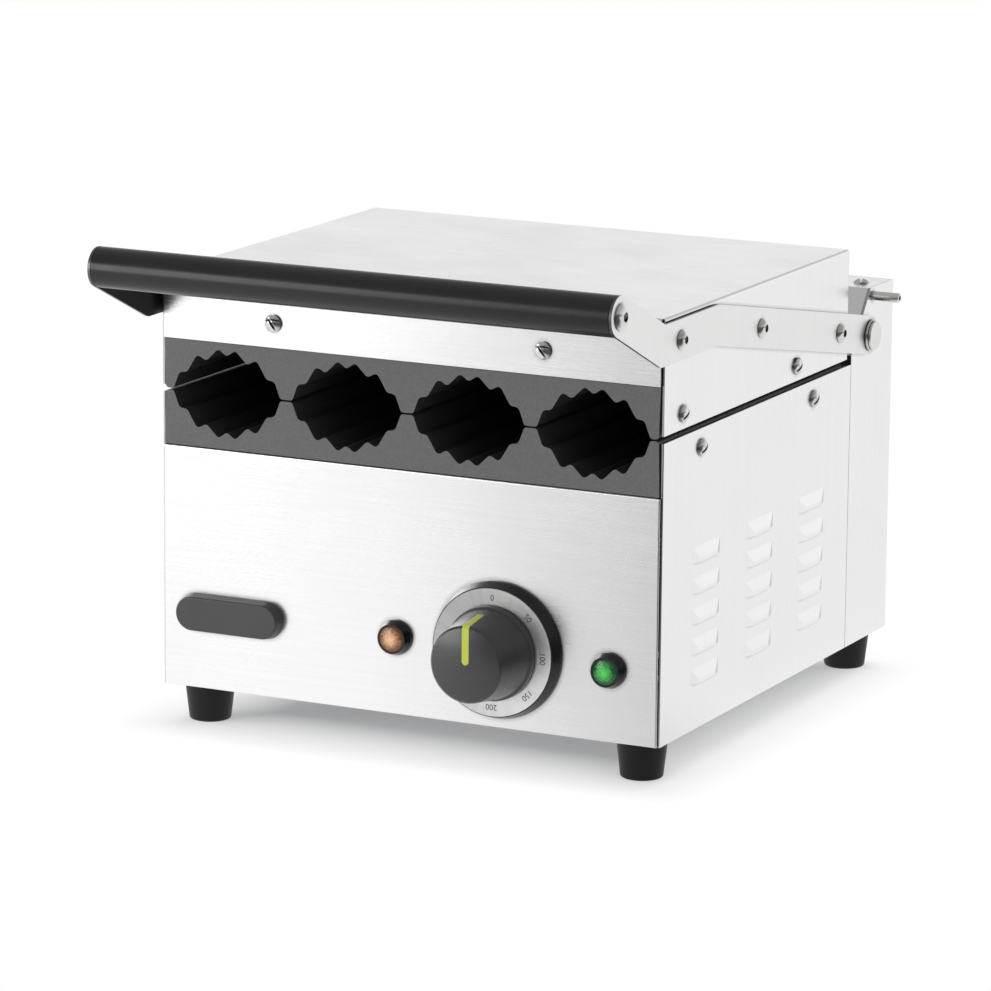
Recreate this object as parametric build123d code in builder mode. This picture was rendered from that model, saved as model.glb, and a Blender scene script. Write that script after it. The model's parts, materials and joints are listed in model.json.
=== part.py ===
from build123d import *
import os
from math import acos, asin, atan2, cos, pi, sin

# Countertop contact grill with four ribbed cavities between two cast plates and a hinged lid.
# Millimetres. X runs to the right, Y runs back from the front panel, Z runs up from the table.

# Case
case_depth = 254.0
tower_depth = 61.0
foot_height = 22.0
panel_height = 134.7
sheet = 1.2
seam = 0.4
side_setback = 1.8
side_shortfall = 1.3
sheet_edge_round = 0.55
return_width = 14.0
front_panel_inset = 1.1

# Cast plates
lower_plate_height = 30.0
upper_plate_height = 27.6
parting_gap = 1.0
plate_setback = 0.6
plate_back_gap = 7.4
plate_side_margin = 3.6
plate_draft = 0.7
plate_corner_round = 2.0
plate_side_gap = 0.5
trough_half_width = 33.0
land_width = 7.2
trough_count = 4
trough_end_wall = 18.0
lip_round = 1.6
rest_pad_diameter = 8.0
rest_pad_gap = 0.3

# Lid
lid_back_gap = 4.5
lid_space = 36.4
skirt_above_parting = 2.0
lid_edge_round = 1.8
lid_lug_width = 16.0
lid_screw_rise = 9.9
base_screw_drop = 11.6
lid_front_screw_rise = 13.8
lid_front_screw_inset = 69.5

# Rear housing
slope_foot_rise = 3.6
slope_top_lead = 3.0
stop_rod_cover = 4.7
tower_screw_inset = 12.0
tower_screw_behind = 11.6

# Hinge, arms and handle
pivot_behind_case = 19.6
pivot_rise = 12.6
shaft_diameter = 8.0
arm_width = 22.0
arm_thickness = 1.6
arm_spacing = 1.9
arm_drop = 12.5
arm_front_bend = -8.5
arm_rear_bend = 61.0
arm_bend_round = 6.0
handle_reach = 61.5
handle_rise = 11.5
handle_diameter = 22.0
handle_bore = 12.4
handle_core_diameter = 12.0
handle_collar_width = 3.2
stop_rod_diameter = 5.5
stop_rod_bore = 2.6
stop_rod_reach = 16.5
stop_rod_behind = 10.4
stop_rod_above = 20.6

# Heating
element_diameter = 6.5
element_seat = 0.15
element_bend = 30.0
element_inset = 30.0
clamp_thickness = 1.5
clamp_screw_diameter = 6.0
bulb_diameter = 6.0
bulb_length = 90.0
bulb_rise = 9.0
shield_drop = 26.0
capillary_drop = 40.0
capillary_diameter = 1.6

# Controls
dial_x = 55.8
dial_z = 43.0
dial_base_diameter = 75.2
dial_front_diameter = 71.0
dial_thickness = 7.4
scale_thickness = 0.6
knob_skirt_diameter = 52.0
knob_face_diameter = 42.0
knob_gap = 1.4
knob_depth = 30.0
knob_wall = 2.4
knob_hub_wall = 3.5
pointer_width = 4.0
pointer_length = 21.0
pointer_proud = 0.25
pointer_sink = 0.6
control_shaft_diameter = 6.0
thermostat_screw_spacing = 28.0
lamp_diameter = 19.5
lamp_reach = 6.0
lamp_tube_diameter = 12.6
amber_lamp_x = -5.6
amber_lamp_z = 42.7
green_lamp_x = 121.1
green_lamp_z = 39.4
name_plate_inset = 43.3
name_plate_z = 43.0
name_plate_width = 64.5
name_plate_height = 21.0
name_plate_thickness = 7.0
name_plate_taper = 9.0
stud_spacing = 44.0
stud_diameter = 3.0

# Louvres in the side panels
louvre_columns = 3
louvre_rows = 5
louvre_first_y = 58.5
louvre_column_pitch = 71.0
louvre_first_z = 25.5
louvre_row_pitch = 16.6
louvre_length = 35.5
louvre_height = 8.5
louvre_reach = 1.9
louvre_end_run = 7.0

# Feet and the lead's gland
foot_top_diameter = 28.0
foot_bottom_diameter = 23.0
foot_inset = 18.5
foot_recess = 7.0
foot_recess_diameter = 10.0
foot_round = 1.6
front_foot_y = 20.5
rear_foot_inset = 16.0
foot_screw_grip = 6.0
gland_reach = 16.0
gland_bore = 8.4
gland_thread = 16.0
gland_inset = 58.0
gland_z = 34.0

# Running clearance of the shafts, and the small gap left where two pieces lie together
running_fit = 0.05
close_gap = 0.2

# Levels and planes worked out from the sizes above
trough_pitch = 2 * trough_half_width + land_width
body_width = trough_count * trough_pitch + 2 * plate_side_margin
plate_depth = case_depth - plate_setback - plate_back_gap
trough_length = plate_depth - trough_end_wall
lid_depth = case_depth - lid_back_gap
total_depth = case_depth + tower_depth
overall_front = handle_reach + handle_diameter / 2
front_y = (overall_front - total_depth - gland_reach) / 2
back_y = front_y + total_depth
side_x = body_width / 2
inside_x = side_x - sheet
case_z = foot_height
panel_z = case_z + panel_height
lower_z = panel_z + seam
land_z = lower_z + lower_plate_height
upper_z = land_z + parting_gap
upper_plate_z = upper_z + upper_plate_height
strip_z = upper_plate_z + seam
lid_z = upper_plate_z + lid_space
skirt_z = upper_z + skirt_above_parting - parting_gap / 2
side_top_z = land_z - side_shortfall
pivot_back = case_depth + pivot_behind_case
pivot = Vector(0, front_y + pivot_back, land_z + pivot_rise)
stop_y = pivot.Y + stop_rod_behind
stop_z = pivot.Z + stop_rod_above
tower_z = stop_z + stop_rod_cover
slope_foot_y = front_y + case_depth + seam
slope_foot_z = land_z + slope_foot_rise
slope_top_y = stop_y - slope_top_lead
arm_level_z = lid_z - arm_drop
arm_inner_x = side_x + arm_spacing
arm_outer_x = arm_inner_x + arm_thickness
handle_y = front_y - handle_reach
handle_z = lid_z + handle_rise
plate_half = inside_x - plate_side_gap
element_drop = element_diameter / 2 + element_seat
clamp_gap = element_diameter + 2 * element_seat
shaft_hole = shaft_diameter + 2 * running_fit
bush_diameter = shaft_diameter + 4.0
name_plate_x = name_plate_inset - side_x
gland_x = gland_inset - side_x

os.makedirs("parts", exist_ok=True)


def finish(builder, name):
    builder.part.label = name
    export_step(builder.part, "parts/" + name + ".step")


def across(y):
    """Sketch plane facing the front: X is along the width, Y is up. A negative extrusion goes back."""
    return Plane(origin=(0, y, 0), x_dir=(1, 0, 0), z_dir=(0, -1, 0))


def along(x):
    """Sketch plane facing the right: X runs back, Y is up. A positive extrusion goes right."""
    return Plane(origin=(x, 0, 0), x_dir=(0, 1, 0), z_dir=(1, 0, 0))


def block(low, high, mode=Mode.ADD):
    middle = [(a + b) / 2 for a, b in zip(low, high)]
    size = [b - a for a, b in zip(low, high)]
    with Locations(tuple(middle)):
        Box(*size, mode=mode)


def rod(start, end, diameter, mode=Mode.ADD):
    direction = Vector(*end) - Vector(*start)
    with Locations(Plane(origin=start, z_dir=direction)):
        Cylinder(diameter / 2, direction.length, align=(Align.CENTER, Align.CENTER, Align.MIN), mode=mode)


def cross_rod(start_x, end_x, y, z, diameter, mode=Mode.ADD):
    rod((start_x, y, z), (end_x, y, z), diameter, mode)


def depth_rod(start_y, end_y, x, z, diameter, mode=Mode.ADD):
    rod((x, start_y, z), (x, end_y, z), diameter, mode)


def turned(x, z, outline, mode=Mode.ADD):
    """A piece turned about an axis along Y. The outline gives (distance in front of the panel, radius)."""
    with BuildSketch(along(x)) as half:
        with BuildLine():
            Polyline(*[(front_y - reach, z + radius) for reach, radius in outline], close=True)
        make_face()
    revolve(half.sketch, axis=Axis((x, front_y, z), (0, 1, 0)), mode=mode)


def mirrored_pair(left_name, right_name, right_builder):
    finish(right_builder, right_name)
    with BuildPart() as left:
        add(mirror(right_builder.part, about=Plane.YZ, mode=Mode.PRIVATE))
    finish(left, left_name)


def headed_screw(head, rise, rim, shank, length, slot=0.0, socket=0.0):
    """A screw with a domed head standing up from the origin and its shank going down."""
    dome_radius = ((head / 2) ** 2 + (rise - rim) ** 2) / (2 * (rise - rim))
    half_angle = asin(head / 2 / dome_radius) / 2
    with BuildPart() as screw:
        with BuildSketch(Plane.XZ) as half:
            with BuildLine():
                start = (head / 2, rim)
                middle = (dome_radius * sin(half_angle), rise - dome_radius * (1 - cos(half_angle)))
                ThreePointArc(start, middle, (0, rise))
                Polyline((0, rise), (0, -length), (shank / 2, -length), (shank / 2, 0), (head / 2, 0), start)
            make_face()
        revolve(axis=Axis.Z)
        if slot > 0:
            with Locations((0, 0, rise)):
                Box(2 * head, slot, rise, mode=Mode.SUBTRACT)
        if socket > 0:
            with BuildSketch(Plane.XY.offset(rise)):
                RegularPolygon(socket / 2, 6, major_radius=False)
            extrude(amount=-rise * 0.75, mode=Mode.SUBTRACT)
    return screw.part


cover_screw_diameter = 5.0
tower_screw_diameter = 4.0
arm_screw_diameter = 6.0
handle_screw_diameter = 8.0
small_screw_diameter = 4.0
small_screw_head = 7.0
foot_screw_length = foot_height - foot_recess + foot_screw_grip
slotted_screw = headed_screw(head=9.6, rise=3.2, rim=1.2, shank=cover_screw_diameter, length=10.0, slot=1.3)
tower_screw = headed_screw(head=8.6, rise=2.6, rim=1.0, shank=tower_screw_diameter, length=7.0, slot=1.2)
arm_screw = headed_screw(head=10.6, rise=3.4, rim=0.5, shank=arm_screw_diameter, length=12.0, socket=4.0)
handle_screw = headed_screw(
    head=14.2, rise=3.4, rim=0.7, shank=handle_screw_diameter, length=18.0, socket=5.0)
foot_screw = headed_screw(
    head=8.0, rise=2.6, rim=1.0, shank=small_screw_diameter, length=foot_screw_length, slot=1.2)
small_screw = headed_screw(
    head=small_screw_head, rise=2.2, rim=0.8, shank=small_screw_diameter, length=9.0, slot=1.0)

# Where the screws sit, as (distance behind the front panel, height)
lid_screw_z = upper_z + lid_screw_rise
base_screw_z = land_z - base_screw_drop
lid_screw_front_inset = 25.5
lid_screw_back_inset = 73.5
base_screw_front_inset = 50.0
base_screw_back_inset = 53.0
lid_side_screws = ((lid_screw_front_inset, lid_screw_z), (lid_depth - lid_screw_back_inset, lid_screw_z))
base_side_screws = (
    (base_screw_front_inset, base_screw_z), (case_depth - base_screw_back_inset, base_screw_z))
lid_front_screw_x = side_x - lid_front_screw_inset
lid_front_screw_z = upper_plate_z + lid_front_screw_rise
arm_screw_front_inset = 14.0
arm_screw_middle = 119.0
arm_screw_back_inset = 20.5
arm_screw_y = (arm_screw_front_inset, arm_screw_middle, lid_depth - arm_screw_back_inset)
tower_screw_x = side_x - tower_screw_inset
tower_screw_y = stop_y + tower_screw_behind
shank_clearance = 0.15


def clearance_hole(screw_diameter):
    return screw_diameter + 2 * shank_clearance


def arm_centre_z(y):
    """Height of the arm's centre line at a distance behind the front panel."""
    if y <= arm_rear_bend:
        return arm_level_z
    return arm_level_z + (pivot.Z - arm_level_z) * (y - arm_rear_bend) / (pivot_back - arm_rear_bend)


def sides():
    return (-1, 1)


# Front panel, with its top and bottom edges turned in
front_half = side_x - front_panel_inset
inner_half = inside_x - 1.0
dial_centre_z = case_z + dial_z
name_plate_centre_z = case_z + name_plate_z
lamps = (
    ("heating_lamp", amber_lamp_x, case_z + amber_lamp_z),
    ("power_lamp", green_lamp_x, case_z + green_lamp_z),
)
panel_hole_diameter = 11.0
stud_places = [name_plate_x + side * stud_spacing / 2 for side in sides()]
thermostat_screw_places = [dial_x + side * thermostat_screw_spacing / 2 for side in sides()]


def panel_hole(x, z, diameter):
    depth_rod(front_y - 1, front_y + 2 * sheet, x, z, diameter, Mode.SUBTRACT)


with BuildPart() as front_panel:
    block((-front_half, front_y, case_z), (front_half, front_y + sheet, panel_z))
    fillet(front_panel.edges().filter_by(Axis.Z).group_by(Axis.Y)[0], sheet_edge_round)
    block((-inner_half, front_y, case_z), (inner_half, front_y + return_width, case_z + sheet))
    block((-inner_half, front_y, panel_z - sheet), (inner_half, front_y + return_width, panel_z))
    fillet(front_panel.edges().filter_by(Axis.X).group_by(Axis.Y)[0], sheet * 0.7)
    panel_hole(dial_x, dial_centre_z, panel_hole_diameter)
    for lamp_name, lamp_x, lamp_z in lamps:
        panel_hole(lamp_x, lamp_z, clearance_hole(lamp_tube_diameter))
    for screw_x in thermostat_screw_places:
        panel_hole(screw_x, dial_centre_z, clearance_hole(small_screw_diameter))
    for stud_x in stud_places:
        panel_hole(stud_x, name_plate_centre_z, clearance_hole(stud_diameter))
finish(front_panel, "front_panel")


# Side panels, each with pressed louvres that open downwards
louvre_lip = 2.0
louvre_wall = 0.9
louvre_root = 0.2
louvre_roof_wall = 1.6
louvre_end_wall = 3.6


def pressed_form(reach, low, high, half_length):
    """A form that rises from the panel over a sloping roof and two sloping ends, open below."""
    with BuildPart() as form:
        with BuildSketch(across(-half_length)):
            with BuildLine():
                Polyline((-louvre_root, high), (0, high), (reach, louvre_lip), (reach, low),
                         (-louvre_root, low), close=True)
            make_face()
        extrude(amount=-2 * half_length)
        with BuildSketch(Plane.XY.offset(low)) as plan:
            with BuildLine():
                roof_half = half_length - louvre_end_run * reach / louvre_reach
                Polyline((-louvre_root, -half_length), (0, -half_length), (reach, -roof_half),
                         (reach, roof_half), (0, half_length), (-louvre_root, half_length), close=True)
            make_face()
        extrude(plan.sketch, amount=high - low, mode=Mode.INTERSECT)
    return form.part


slot_half = louvre_length / 2 - louvre_end_wall
slot_drop = 0.5
slot_top = louvre_height - louvre_roof_wall
with BuildPart() as louvre:
    add(pressed_form(louvre_reach, 0, louvre_height, louvre_length / 2))
    add(pressed_form(louvre_reach - louvre_wall, -slot_drop, slot_top, slot_half), mode=Mode.SUBTRACT)

louvre_places = [
    (side_x, front_y + louvre_first_y + column * louvre_column_pitch,
     case_z + louvre_first_z + row * louvre_row_pitch)
    for column in range(louvre_columns) for row in range(louvre_rows)
]
with BuildPart() as side_panel_right:
    block((inside_x, front_y + side_setback, case_z), (side_x, front_y + case_depth, side_top_z))
    outer_edges = side_panel_right.faces().sort_by(Axis.X)[-1].edges()
    front_edge = outer_edges.filter_by(Axis.Z).sort_by(Axis.Y)[0]
    top_edge = outer_edges.filter_by(Axis.Y).sort_by(Axis.Z)[-1]
    fillet([front_edge, top_edge], sheet_edge_round)
    for _, place_y, place_z in louvre_places:
        block((inside_x - 1, place_y - slot_half, place_z + slot_drop),
              (side_x + 1, place_y + slot_half, place_z + slot_top), Mode.SUBTRACT)
    with Locations(*louvre_places):
        add(louvre.part)
    for screw_y, screw_z in base_side_screws:
        cross_rod(inside_x - 1, side_x + 1, front_y + screw_y, screw_z, clearance_hole(cover_screw_diameter),
                  Mode.SUBTRACT)
mirrored_pair("side_panel_left", "side_panel_right", side_panel_right)

# Bottom plate, a tray with vent slots and a tongue over the front panel's lower edge
tray_half = inside_x - close_gap
tray_front = front_y + return_width + close_gap
tray_back = back_y - sheet - close_gap
tongue_length = 10.0
vent_length = 40.0
vent_width = 5.0
vent_pitch = 22.0
feet_places = {
    "foot_front_left": (foot_inset - side_x, front_y + front_foot_y),
    "foot_front_right": (side_x - foot_inset, front_y + front_foot_y),
    "foot_rear_left": (foot_inset - side_x, back_y - rear_foot_inset),
    "foot_rear_right": (side_x - foot_inset, back_y - rear_foot_inset),
}
foot_hole = 4.4
with BuildPart() as bottom_plate:
    block((-tray_half, tray_front, case_z), (tray_half, tray_back, case_z + sheet))
    block((-tray_half + 1, front_y + 2 * sheet, case_z + sheet),
          (tray_half - 1, tray_front + tongue_length, case_z + 2 * sheet))
    for side in sides():
        wall = sorted((side * tray_half, side * (tray_half - sheet)))
        block((wall[0], tray_front, case_z), (wall[1], tray_back, case_z + return_width))
    block((-tray_half, tray_back - sheet, case_z), (tray_half, tray_back, case_z + return_width))
    with BuildSketch(Plane.XY.offset(case_z)):
        with Locations((0, front_y + case_depth / 2)):
            with GridLocations(vent_pitch, 1.5 * vent_length, 9, 3):
                SlotOverall(vent_length, vent_width, rotation=90)
    extrude(amount=3 * sheet, mode=Mode.SUBTRACT)
    for foot_x, foot_y in feet_places.values():
        rod((foot_x, foot_y, case_z - 1), (foot_x, foot_y, case_z + 3 * sheet), foot_hole, Mode.SUBTRACT)
finish(bottom_plate, "bottom_plate")

# Rear housing: two side cheeks with sloped fronts, joined by the back, with a tab for each cover screw
tab_width = 18.0
tab_depth = 15.0
tab_top = tower_z - sheet - 0.05
gland_centre_z = case_z + gland_z
with BuildPart() as rear_housing:
    with BuildSketch(along(-side_x)):
        with BuildLine():
            Polyline((slope_foot_y, case_z), (slope_foot_y, slope_foot_z), (slope_top_y, tower_z),
                     (back_y, tower_z), (back_y, case_z), close=True)
        make_face()
    extrude(amount=body_width)
    fillet(rear_housing.edges().filter_by(Axis.Z).group_by(Axis.Y)[-1], sheet)
    block((-inside_x, slope_foot_y - 1, case_z - 1), (inside_x, back_y - sheet, tower_z + 1), Mode.SUBTRACT)
    for side in sides():
        tab = sorted((side * inside_x, side * (inside_x - tab_width)))
        block((tab[0], tower_screw_y - tab_depth / 2, tab_top - sheet),
              (tab[1], tower_screw_y + tab_depth / 2, tab_top))
        screw_x = side * tower_screw_x
        rod((screw_x, tower_screw_y, tab_top - 2 * sheet), (screw_x, tower_screw_y, tower_z),
            clearance_hole(tower_screw_diameter), Mode.SUBTRACT)
    stop_hole = stop_rod_diameter + 2 * running_fit
    cross_rod(-side_x - 1, side_x + 1, pivot.Y, pivot.Z, bush_diameter, Mode.SUBTRACT)
    cross_rod(-side_x - 1, side_x + 1, stop_y, stop_z, stop_hole, Mode.SUBTRACT)
    gland_hole = clearance_hole(gland_thread)
    depth_rod(back_y - 2 * sheet, back_y + 1, gland_x, gland_centre_z, gland_hole, Mode.SUBTRACT)
finish(rear_housing, "rear_housing")

# Cover over the rear housing: top, sloped front and the wall below it
cover_half = inside_x - close_gap
cover_foot_z = lower_z - 8.0
cover_back_y = back_y - sheet - close_gap
slope_angle = atan2(tower_z - slope_foot_z, slope_top_y - slope_foot_y)
with BuildPart() as tower_cover:
    with BuildSketch(along(-cover_half)):
        with BuildLine():
            outer = ((cover_back_y, tower_z), (slope_top_y, tower_z), (slope_foot_y, slope_foot_z),
                     (slope_foot_y, cover_foot_z))
            top_shift = sheet * (1 - cos(slope_angle)) / sin(slope_angle)
            foot_shift = sheet * (1 - sin(slope_angle)) / cos(slope_angle)
            inner = ((slope_foot_y + sheet, cover_foot_z), (slope_foot_y + sheet, slope_foot_z - foot_shift),
                     (slope_top_y + top_shift, tower_z - sheet), (cover_back_y, tower_z - sheet))
            Polyline(*outer, *inner, close=True)
        make_face()
    extrude(amount=2 * cover_half)
    for side in sides():
        screw_x = side * tower_screw_x
        rod((screw_x, tower_screw_y, tower_z - 2 * sheet), (screw_x, tower_screw_y, tower_z + 1),
            clearance_hole(tower_screw_diameter), Mode.SUBTRACT)
finish(tower_cover, "tower_cover")
with BuildPart() as tower_cover_screws:
    with Locations(*[(side * tower_screw_x, tower_screw_y, tower_z) for side in sides()]):
        add(tower_screw)
finish(tower_cover_screws, "tower_cover_screws")

# Cast plates. The ribbed outline of half a cavity, from its middle out:
# distance from the middle, depth below the plates' meeting faces, corner radius
rib_corners = ((0, 20.4, 2.4), (5.2, 24.2, 2.4), (12.7, 16.9, 2.4), (18.3, 20.1, 2.6), (24.6, 9.8, 3.0),
               (29.4, 9.3, 3.0), (trough_half_width, 0, lip_round))
trough_centres = [(index - (trough_count - 1) / 2) * trough_pitch for index in range(trough_count)]
plate_front_y = front_y + plate_setback
trough_back_y = plate_front_y + trough_length
plate_back_y = plate_front_y + plate_depth
side_hole_end_x = side_x - 10.5
plate_screw_front_inset = 59.4
plate_screw_back_inset = 56.6
plate_screw_y = (plate_front_y + plate_screw_front_inset, plate_back_y - plate_screw_back_inset)
plate_screw_x = trough_pitch
plate_screw_depth = 12.0


def plate_section(land, up, height, with_troughs):
    """Front outline of a cast plate. land is its meeting face, up is 1 where the metal lies above it."""
    corners = [(-plate_half, height, 0.6), (-plate_half + plate_draft, 0, plate_corner_round)]
    if with_troughs:
        for centre in trough_centres:
            corners += [(centre - x, -depth, radius) for x, depth, radius in reversed(rib_corners[1:])]
            corners += [(centre + x, -depth, radius) for x, depth, radius in rib_corners]
    corners += [(plate_half - plate_draft, 0, plate_corner_round), (plate_half, height, 0.6)]
    points = [(x, land + up * (-z if with_troughs and z < 0 else z)) for x, z, radius in corners]
    with BuildSketch(across(plate_front_y if with_troughs else trough_back_y)) as section:
        with BuildLine():
            FilletPolyline(*points, radius=[radius for x, z, radius in corners], close=True)
        make_face()
    return section.sketch


def cast_plate(land, up, height):
    extrude(plate_section(land, up, height, True), amount=-trough_length)
    extrude(plate_section(land, up, height, False), amount=-(plate_depth - trough_length))
    far = land + up * height
    for screw_x in (-plate_screw_x, plate_screw_x):
        for screw_y in plate_screw_y:
            rod((screw_x, screw_y, far + up), (screw_x, screw_y, far - up * plate_screw_depth),
                clearance_hole(clamp_screw_diameter), Mode.SUBTRACT)


def side_holes(places, diameter):
    """Blind holes in a plate's two sides."""
    for side in sides():
        for screw_y, screw_z in places:
            cross_rod(side * side_x, side * side_hole_end_x, front_y + screw_y, screw_z,
                      clearance_hole(diameter), Mode.SUBTRACT)


bulb_z = lower_z + bulb_rise
with BuildPart() as lower_grill_plate:
    cast_plate(land_z, -1, lower_plate_height)
    side_holes(base_side_screws, cover_screw_diameter)
    bulb_bore = bulb_diameter + 2 * close_gap
    depth_rod(plate_back_y + 1, plate_back_y - bulb_length - 2, 0, bulb_z, bulb_bore, Mode.SUBTRACT)
    rest_pad_inset = 12.0
    for side in sides():
        pad = (side * (plate_half - rest_pad_inset), (trough_back_y + plate_back_y) / 2, land_z)
        rod(pad, (pad[0], pad[1], land_z + parting_gap - rest_pad_gap), rest_pad_diameter)
finish(lower_grill_plate, "lower_grill_plate")

arm_screws_at = [(y, arm_centre_z(y)) for y in arm_screw_y]
low_arm_screws = [place for place in arm_screws_at if place[1] < upper_plate_z + 5]
high_arm_screws = [place for place in arm_screws_at if place[1] >= upper_plate_z + 5]
lug_front_y = front_y + sheet + close_gap
lug_thickness = 10.0
lug_back_y = lug_front_y + lug_thickness
with BuildPart() as upper_grill_plate:
    cast_plate(upper_z, 1, upper_plate_height)
    side_holes(lid_side_screws, cover_screw_diameter)
    side_holes(low_arm_screws, arm_screw_diameter)
    for side in sides():
        lug_x = side * lid_front_screw_x
        block((lug_x - lid_lug_width / 2, lug_front_y, upper_plate_z - 1),
              (lug_x + lid_lug_width / 2, lug_back_y, lid_front_screw_z + lid_lug_width / 2))
        depth_rod(front_y, lug_back_y - 1, lug_x, lid_front_screw_z, clearance_hole(cover_screw_diameter),
                  Mode.SUBTRACT)
finish(upper_grill_plate, "upper_grill_plate")

# Tubular heating elements, each pressed to its plate by a clamp plate
element_end_y = plate_back_y - 8.0
element_turn_y = plate_back_y - element_inset
outer_run = 1.5 * trough_pitch
inner_run = 0.5 * trough_pitch
pin_diameter = 3.0
clamp_half = 1.7 * trough_pitch
clamp_inset = 20.0


def heating_element(z):
    near_y = front_y + element_inset
    half_route = [(outer_run, element_end_y, z), (outer_run, near_y, z), (inner_run, near_y, z),
                  (inner_run, element_turn_y, z)]
    route = [(-x, y, z) for x, y, z in half_route] + half_route[::-1]
    with BuildLine() as path:
        FilletPolyline(*route, radius=element_bend)
    with BuildSketch(Plane(origin=route[0], z_dir=(0, -1, 0))) as tube:
        Circle(element_diameter / 2)
    sweep(tube.sketch, path=path.line)
    for end_x in (-outer_run, outer_run):
        rod((end_x, element_end_y, z), (end_x, element_end_y + 8, z), pin_diameter)


def clamp_plate(z):
    block((-clamp_half, front_y + clamp_inset, z),
          (clamp_half, plate_back_y - clamp_inset, z + clamp_thickness))
    for screw_x in (-plate_screw_x, plate_screw_x):
        for screw_y in plate_screw_y:
            rod((screw_x, screw_y, z - 1), (screw_x, screw_y, z + clamp_thickness + 1),
                clearance_hole(clamp_screw_diameter), Mode.SUBTRACT)


def clamp_screws(seat, up):
    """Hex screws whose heads lie on the clamp plate's outer face. up is 1 where the heads are above it."""
    reach = clamp_thickness + clamp_gap + plate_screw_depth - 1
    for screw_x in (-plate_screw_x, plate_screw_x):
        for screw_y in plate_screw_y:
            rod((screw_x, screw_y, seat), (screw_x, screw_y, seat - up * reach), clamp_screw_diameter)
            with BuildSketch(Plane(origin=(screw_x, screw_y, seat), z_dir=(0, 0, up))) as head:
                RegularPolygon(5.0, 6, major_radius=False)
            extrude(head.sketch, amount=4.0)


lower_clamp_z = lower_z - clamp_gap - clamp_thickness
upper_clamp_z = upper_plate_z + clamp_gap
with BuildPart() as lower_heating_element:
    heating_element(lower_z - element_drop)
finish(lower_heating_element, "lower_heating_element")
with BuildPart() as lower_clamp_plate:
    clamp_plate(lower_clamp_z)
finish(lower_clamp_plate, "lower_clamp_plate")
with BuildPart() as lower_clamp_screws:
    clamp_screws(lower_clamp_z, -1)
finish(lower_clamp_screws, "lower_clamp_screws")
with BuildPart() as upper_heating_element:
    heating_element(upper_plate_z + element_drop)
finish(upper_heating_element, "upper_heating_element")
with BuildPart() as upper_clamp_plate:
    clamp_plate(upper_clamp_z)
finish(upper_clamp_plate, "upper_clamp_plate")
with BuildPart() as upper_clamp_screws:
    clamp_screws(upper_clamp_z + clamp_thickness, 1)
finish(upper_clamp_screws, "upper_clamp_screws")

# Heat shield between the lower plate and the controls, hung between the side panels
shield_z = lower_z - shield_drop
shield_front_inset = 20.0
shield_back_inset = 6.0
shield_front_y = front_y + shield_front_inset
shield_back_y = plate_back_y - shield_back_inset
with BuildPart() as heat_shield:
    block((-tray_half, shield_front_y, shield_z), (tray_half, shield_back_y, shield_z + sheet))
    for side in sides():
        wall = sorted((side * tray_half, side * (tray_half - sheet)))
        block((wall[0], shield_front_y, shield_z), (wall[1], shield_back_y, shield_z + return_width))
finish(heat_shield, "heat_shield")

# Lid cover: top, front strip and skirts, with an open seam at each front corner
lid_back_y = front_y + lid_depth
seam_x = inside_x - 0.3
skirt_front_y = front_y + side_setback


def skirt_hole(side, screw_y, screw_z, screw_diameter):
    cross_rod(side * (inside_x - 1), side * (side_x + 1), front_y + screw_y, screw_z,
              clearance_hole(screw_diameter), Mode.SUBTRACT)


with BuildPart() as lid_cover:
    block((-side_x, front_y, skirt_z), (side_x, lid_back_y, lid_z))
    rear_edges = lid_cover.edges().filter_by(Axis.Z).group_by(Axis.Y)[-1]
    fillet(lid_cover.faces().sort_by(Axis.Z)[-1].edges() + rear_edges, lid_edge_round)
    block((-inside_x, front_y + sheet, skirt_z - 1), (inside_x, lid_back_y - sheet, lid_z - sheet),
          Mode.SUBTRACT)
    block((-side_x - 1, front_y - 1, skirt_z - 1), (side_x + 1, skirt_front_y, strip_z), Mode.SUBTRACT)
    for side in sides():
        corner = sorted((side * seam_x, side * (side_x + 1)))
        block((corner[0], front_y - 1, strip_z - 1), (corner[1], skirt_front_y, lid_z + 1), Mode.SUBTRACT)
        for screw_y, screw_z in lid_side_screws:
            skirt_hole(side, screw_y, screw_z, cover_screw_diameter)
        for screw_y, screw_z in arm_screws_at:
            skirt_hole(side, screw_y, screw_z, arm_screw_diameter)
        panel_hole(side * lid_front_screw_x, lid_front_screw_z, clearance_hole(cover_screw_diameter))
finish(lid_cover, "lid_cover")

insulation_z = upper_clamp_z + clamp_thickness + close_gap
screw_pocket_diameter = 14.0
screw_pocket_depth = 6.0
with BuildPart() as lid_insulation:
    block((2 * clamp_gap - inside_x, lug_back_y + 3, insulation_z),
          (inside_x - 2 * clamp_gap, lid_back_y - 8, lid_z - sheet - close_gap))
    for screw_x in (-plate_screw_x, plate_screw_x):
        for screw_y in plate_screw_y:
            rod((screw_x, screw_y, insulation_z - 1), (screw_x, screw_y, insulation_z + screw_pocket_depth),
                screw_pocket_diameter, Mode.SUBTRACT)
finish(lid_insulation, "lid_insulation")

# Lid arms: flat bars bent in their own plane, from the handle over the lid's side to the pivot
arm_points = ((-handle_reach, handle_z), (arm_front_bend, arm_level_z), (arm_rear_bend, arm_level_z),
              (pivot_back, pivot.Z))


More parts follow.
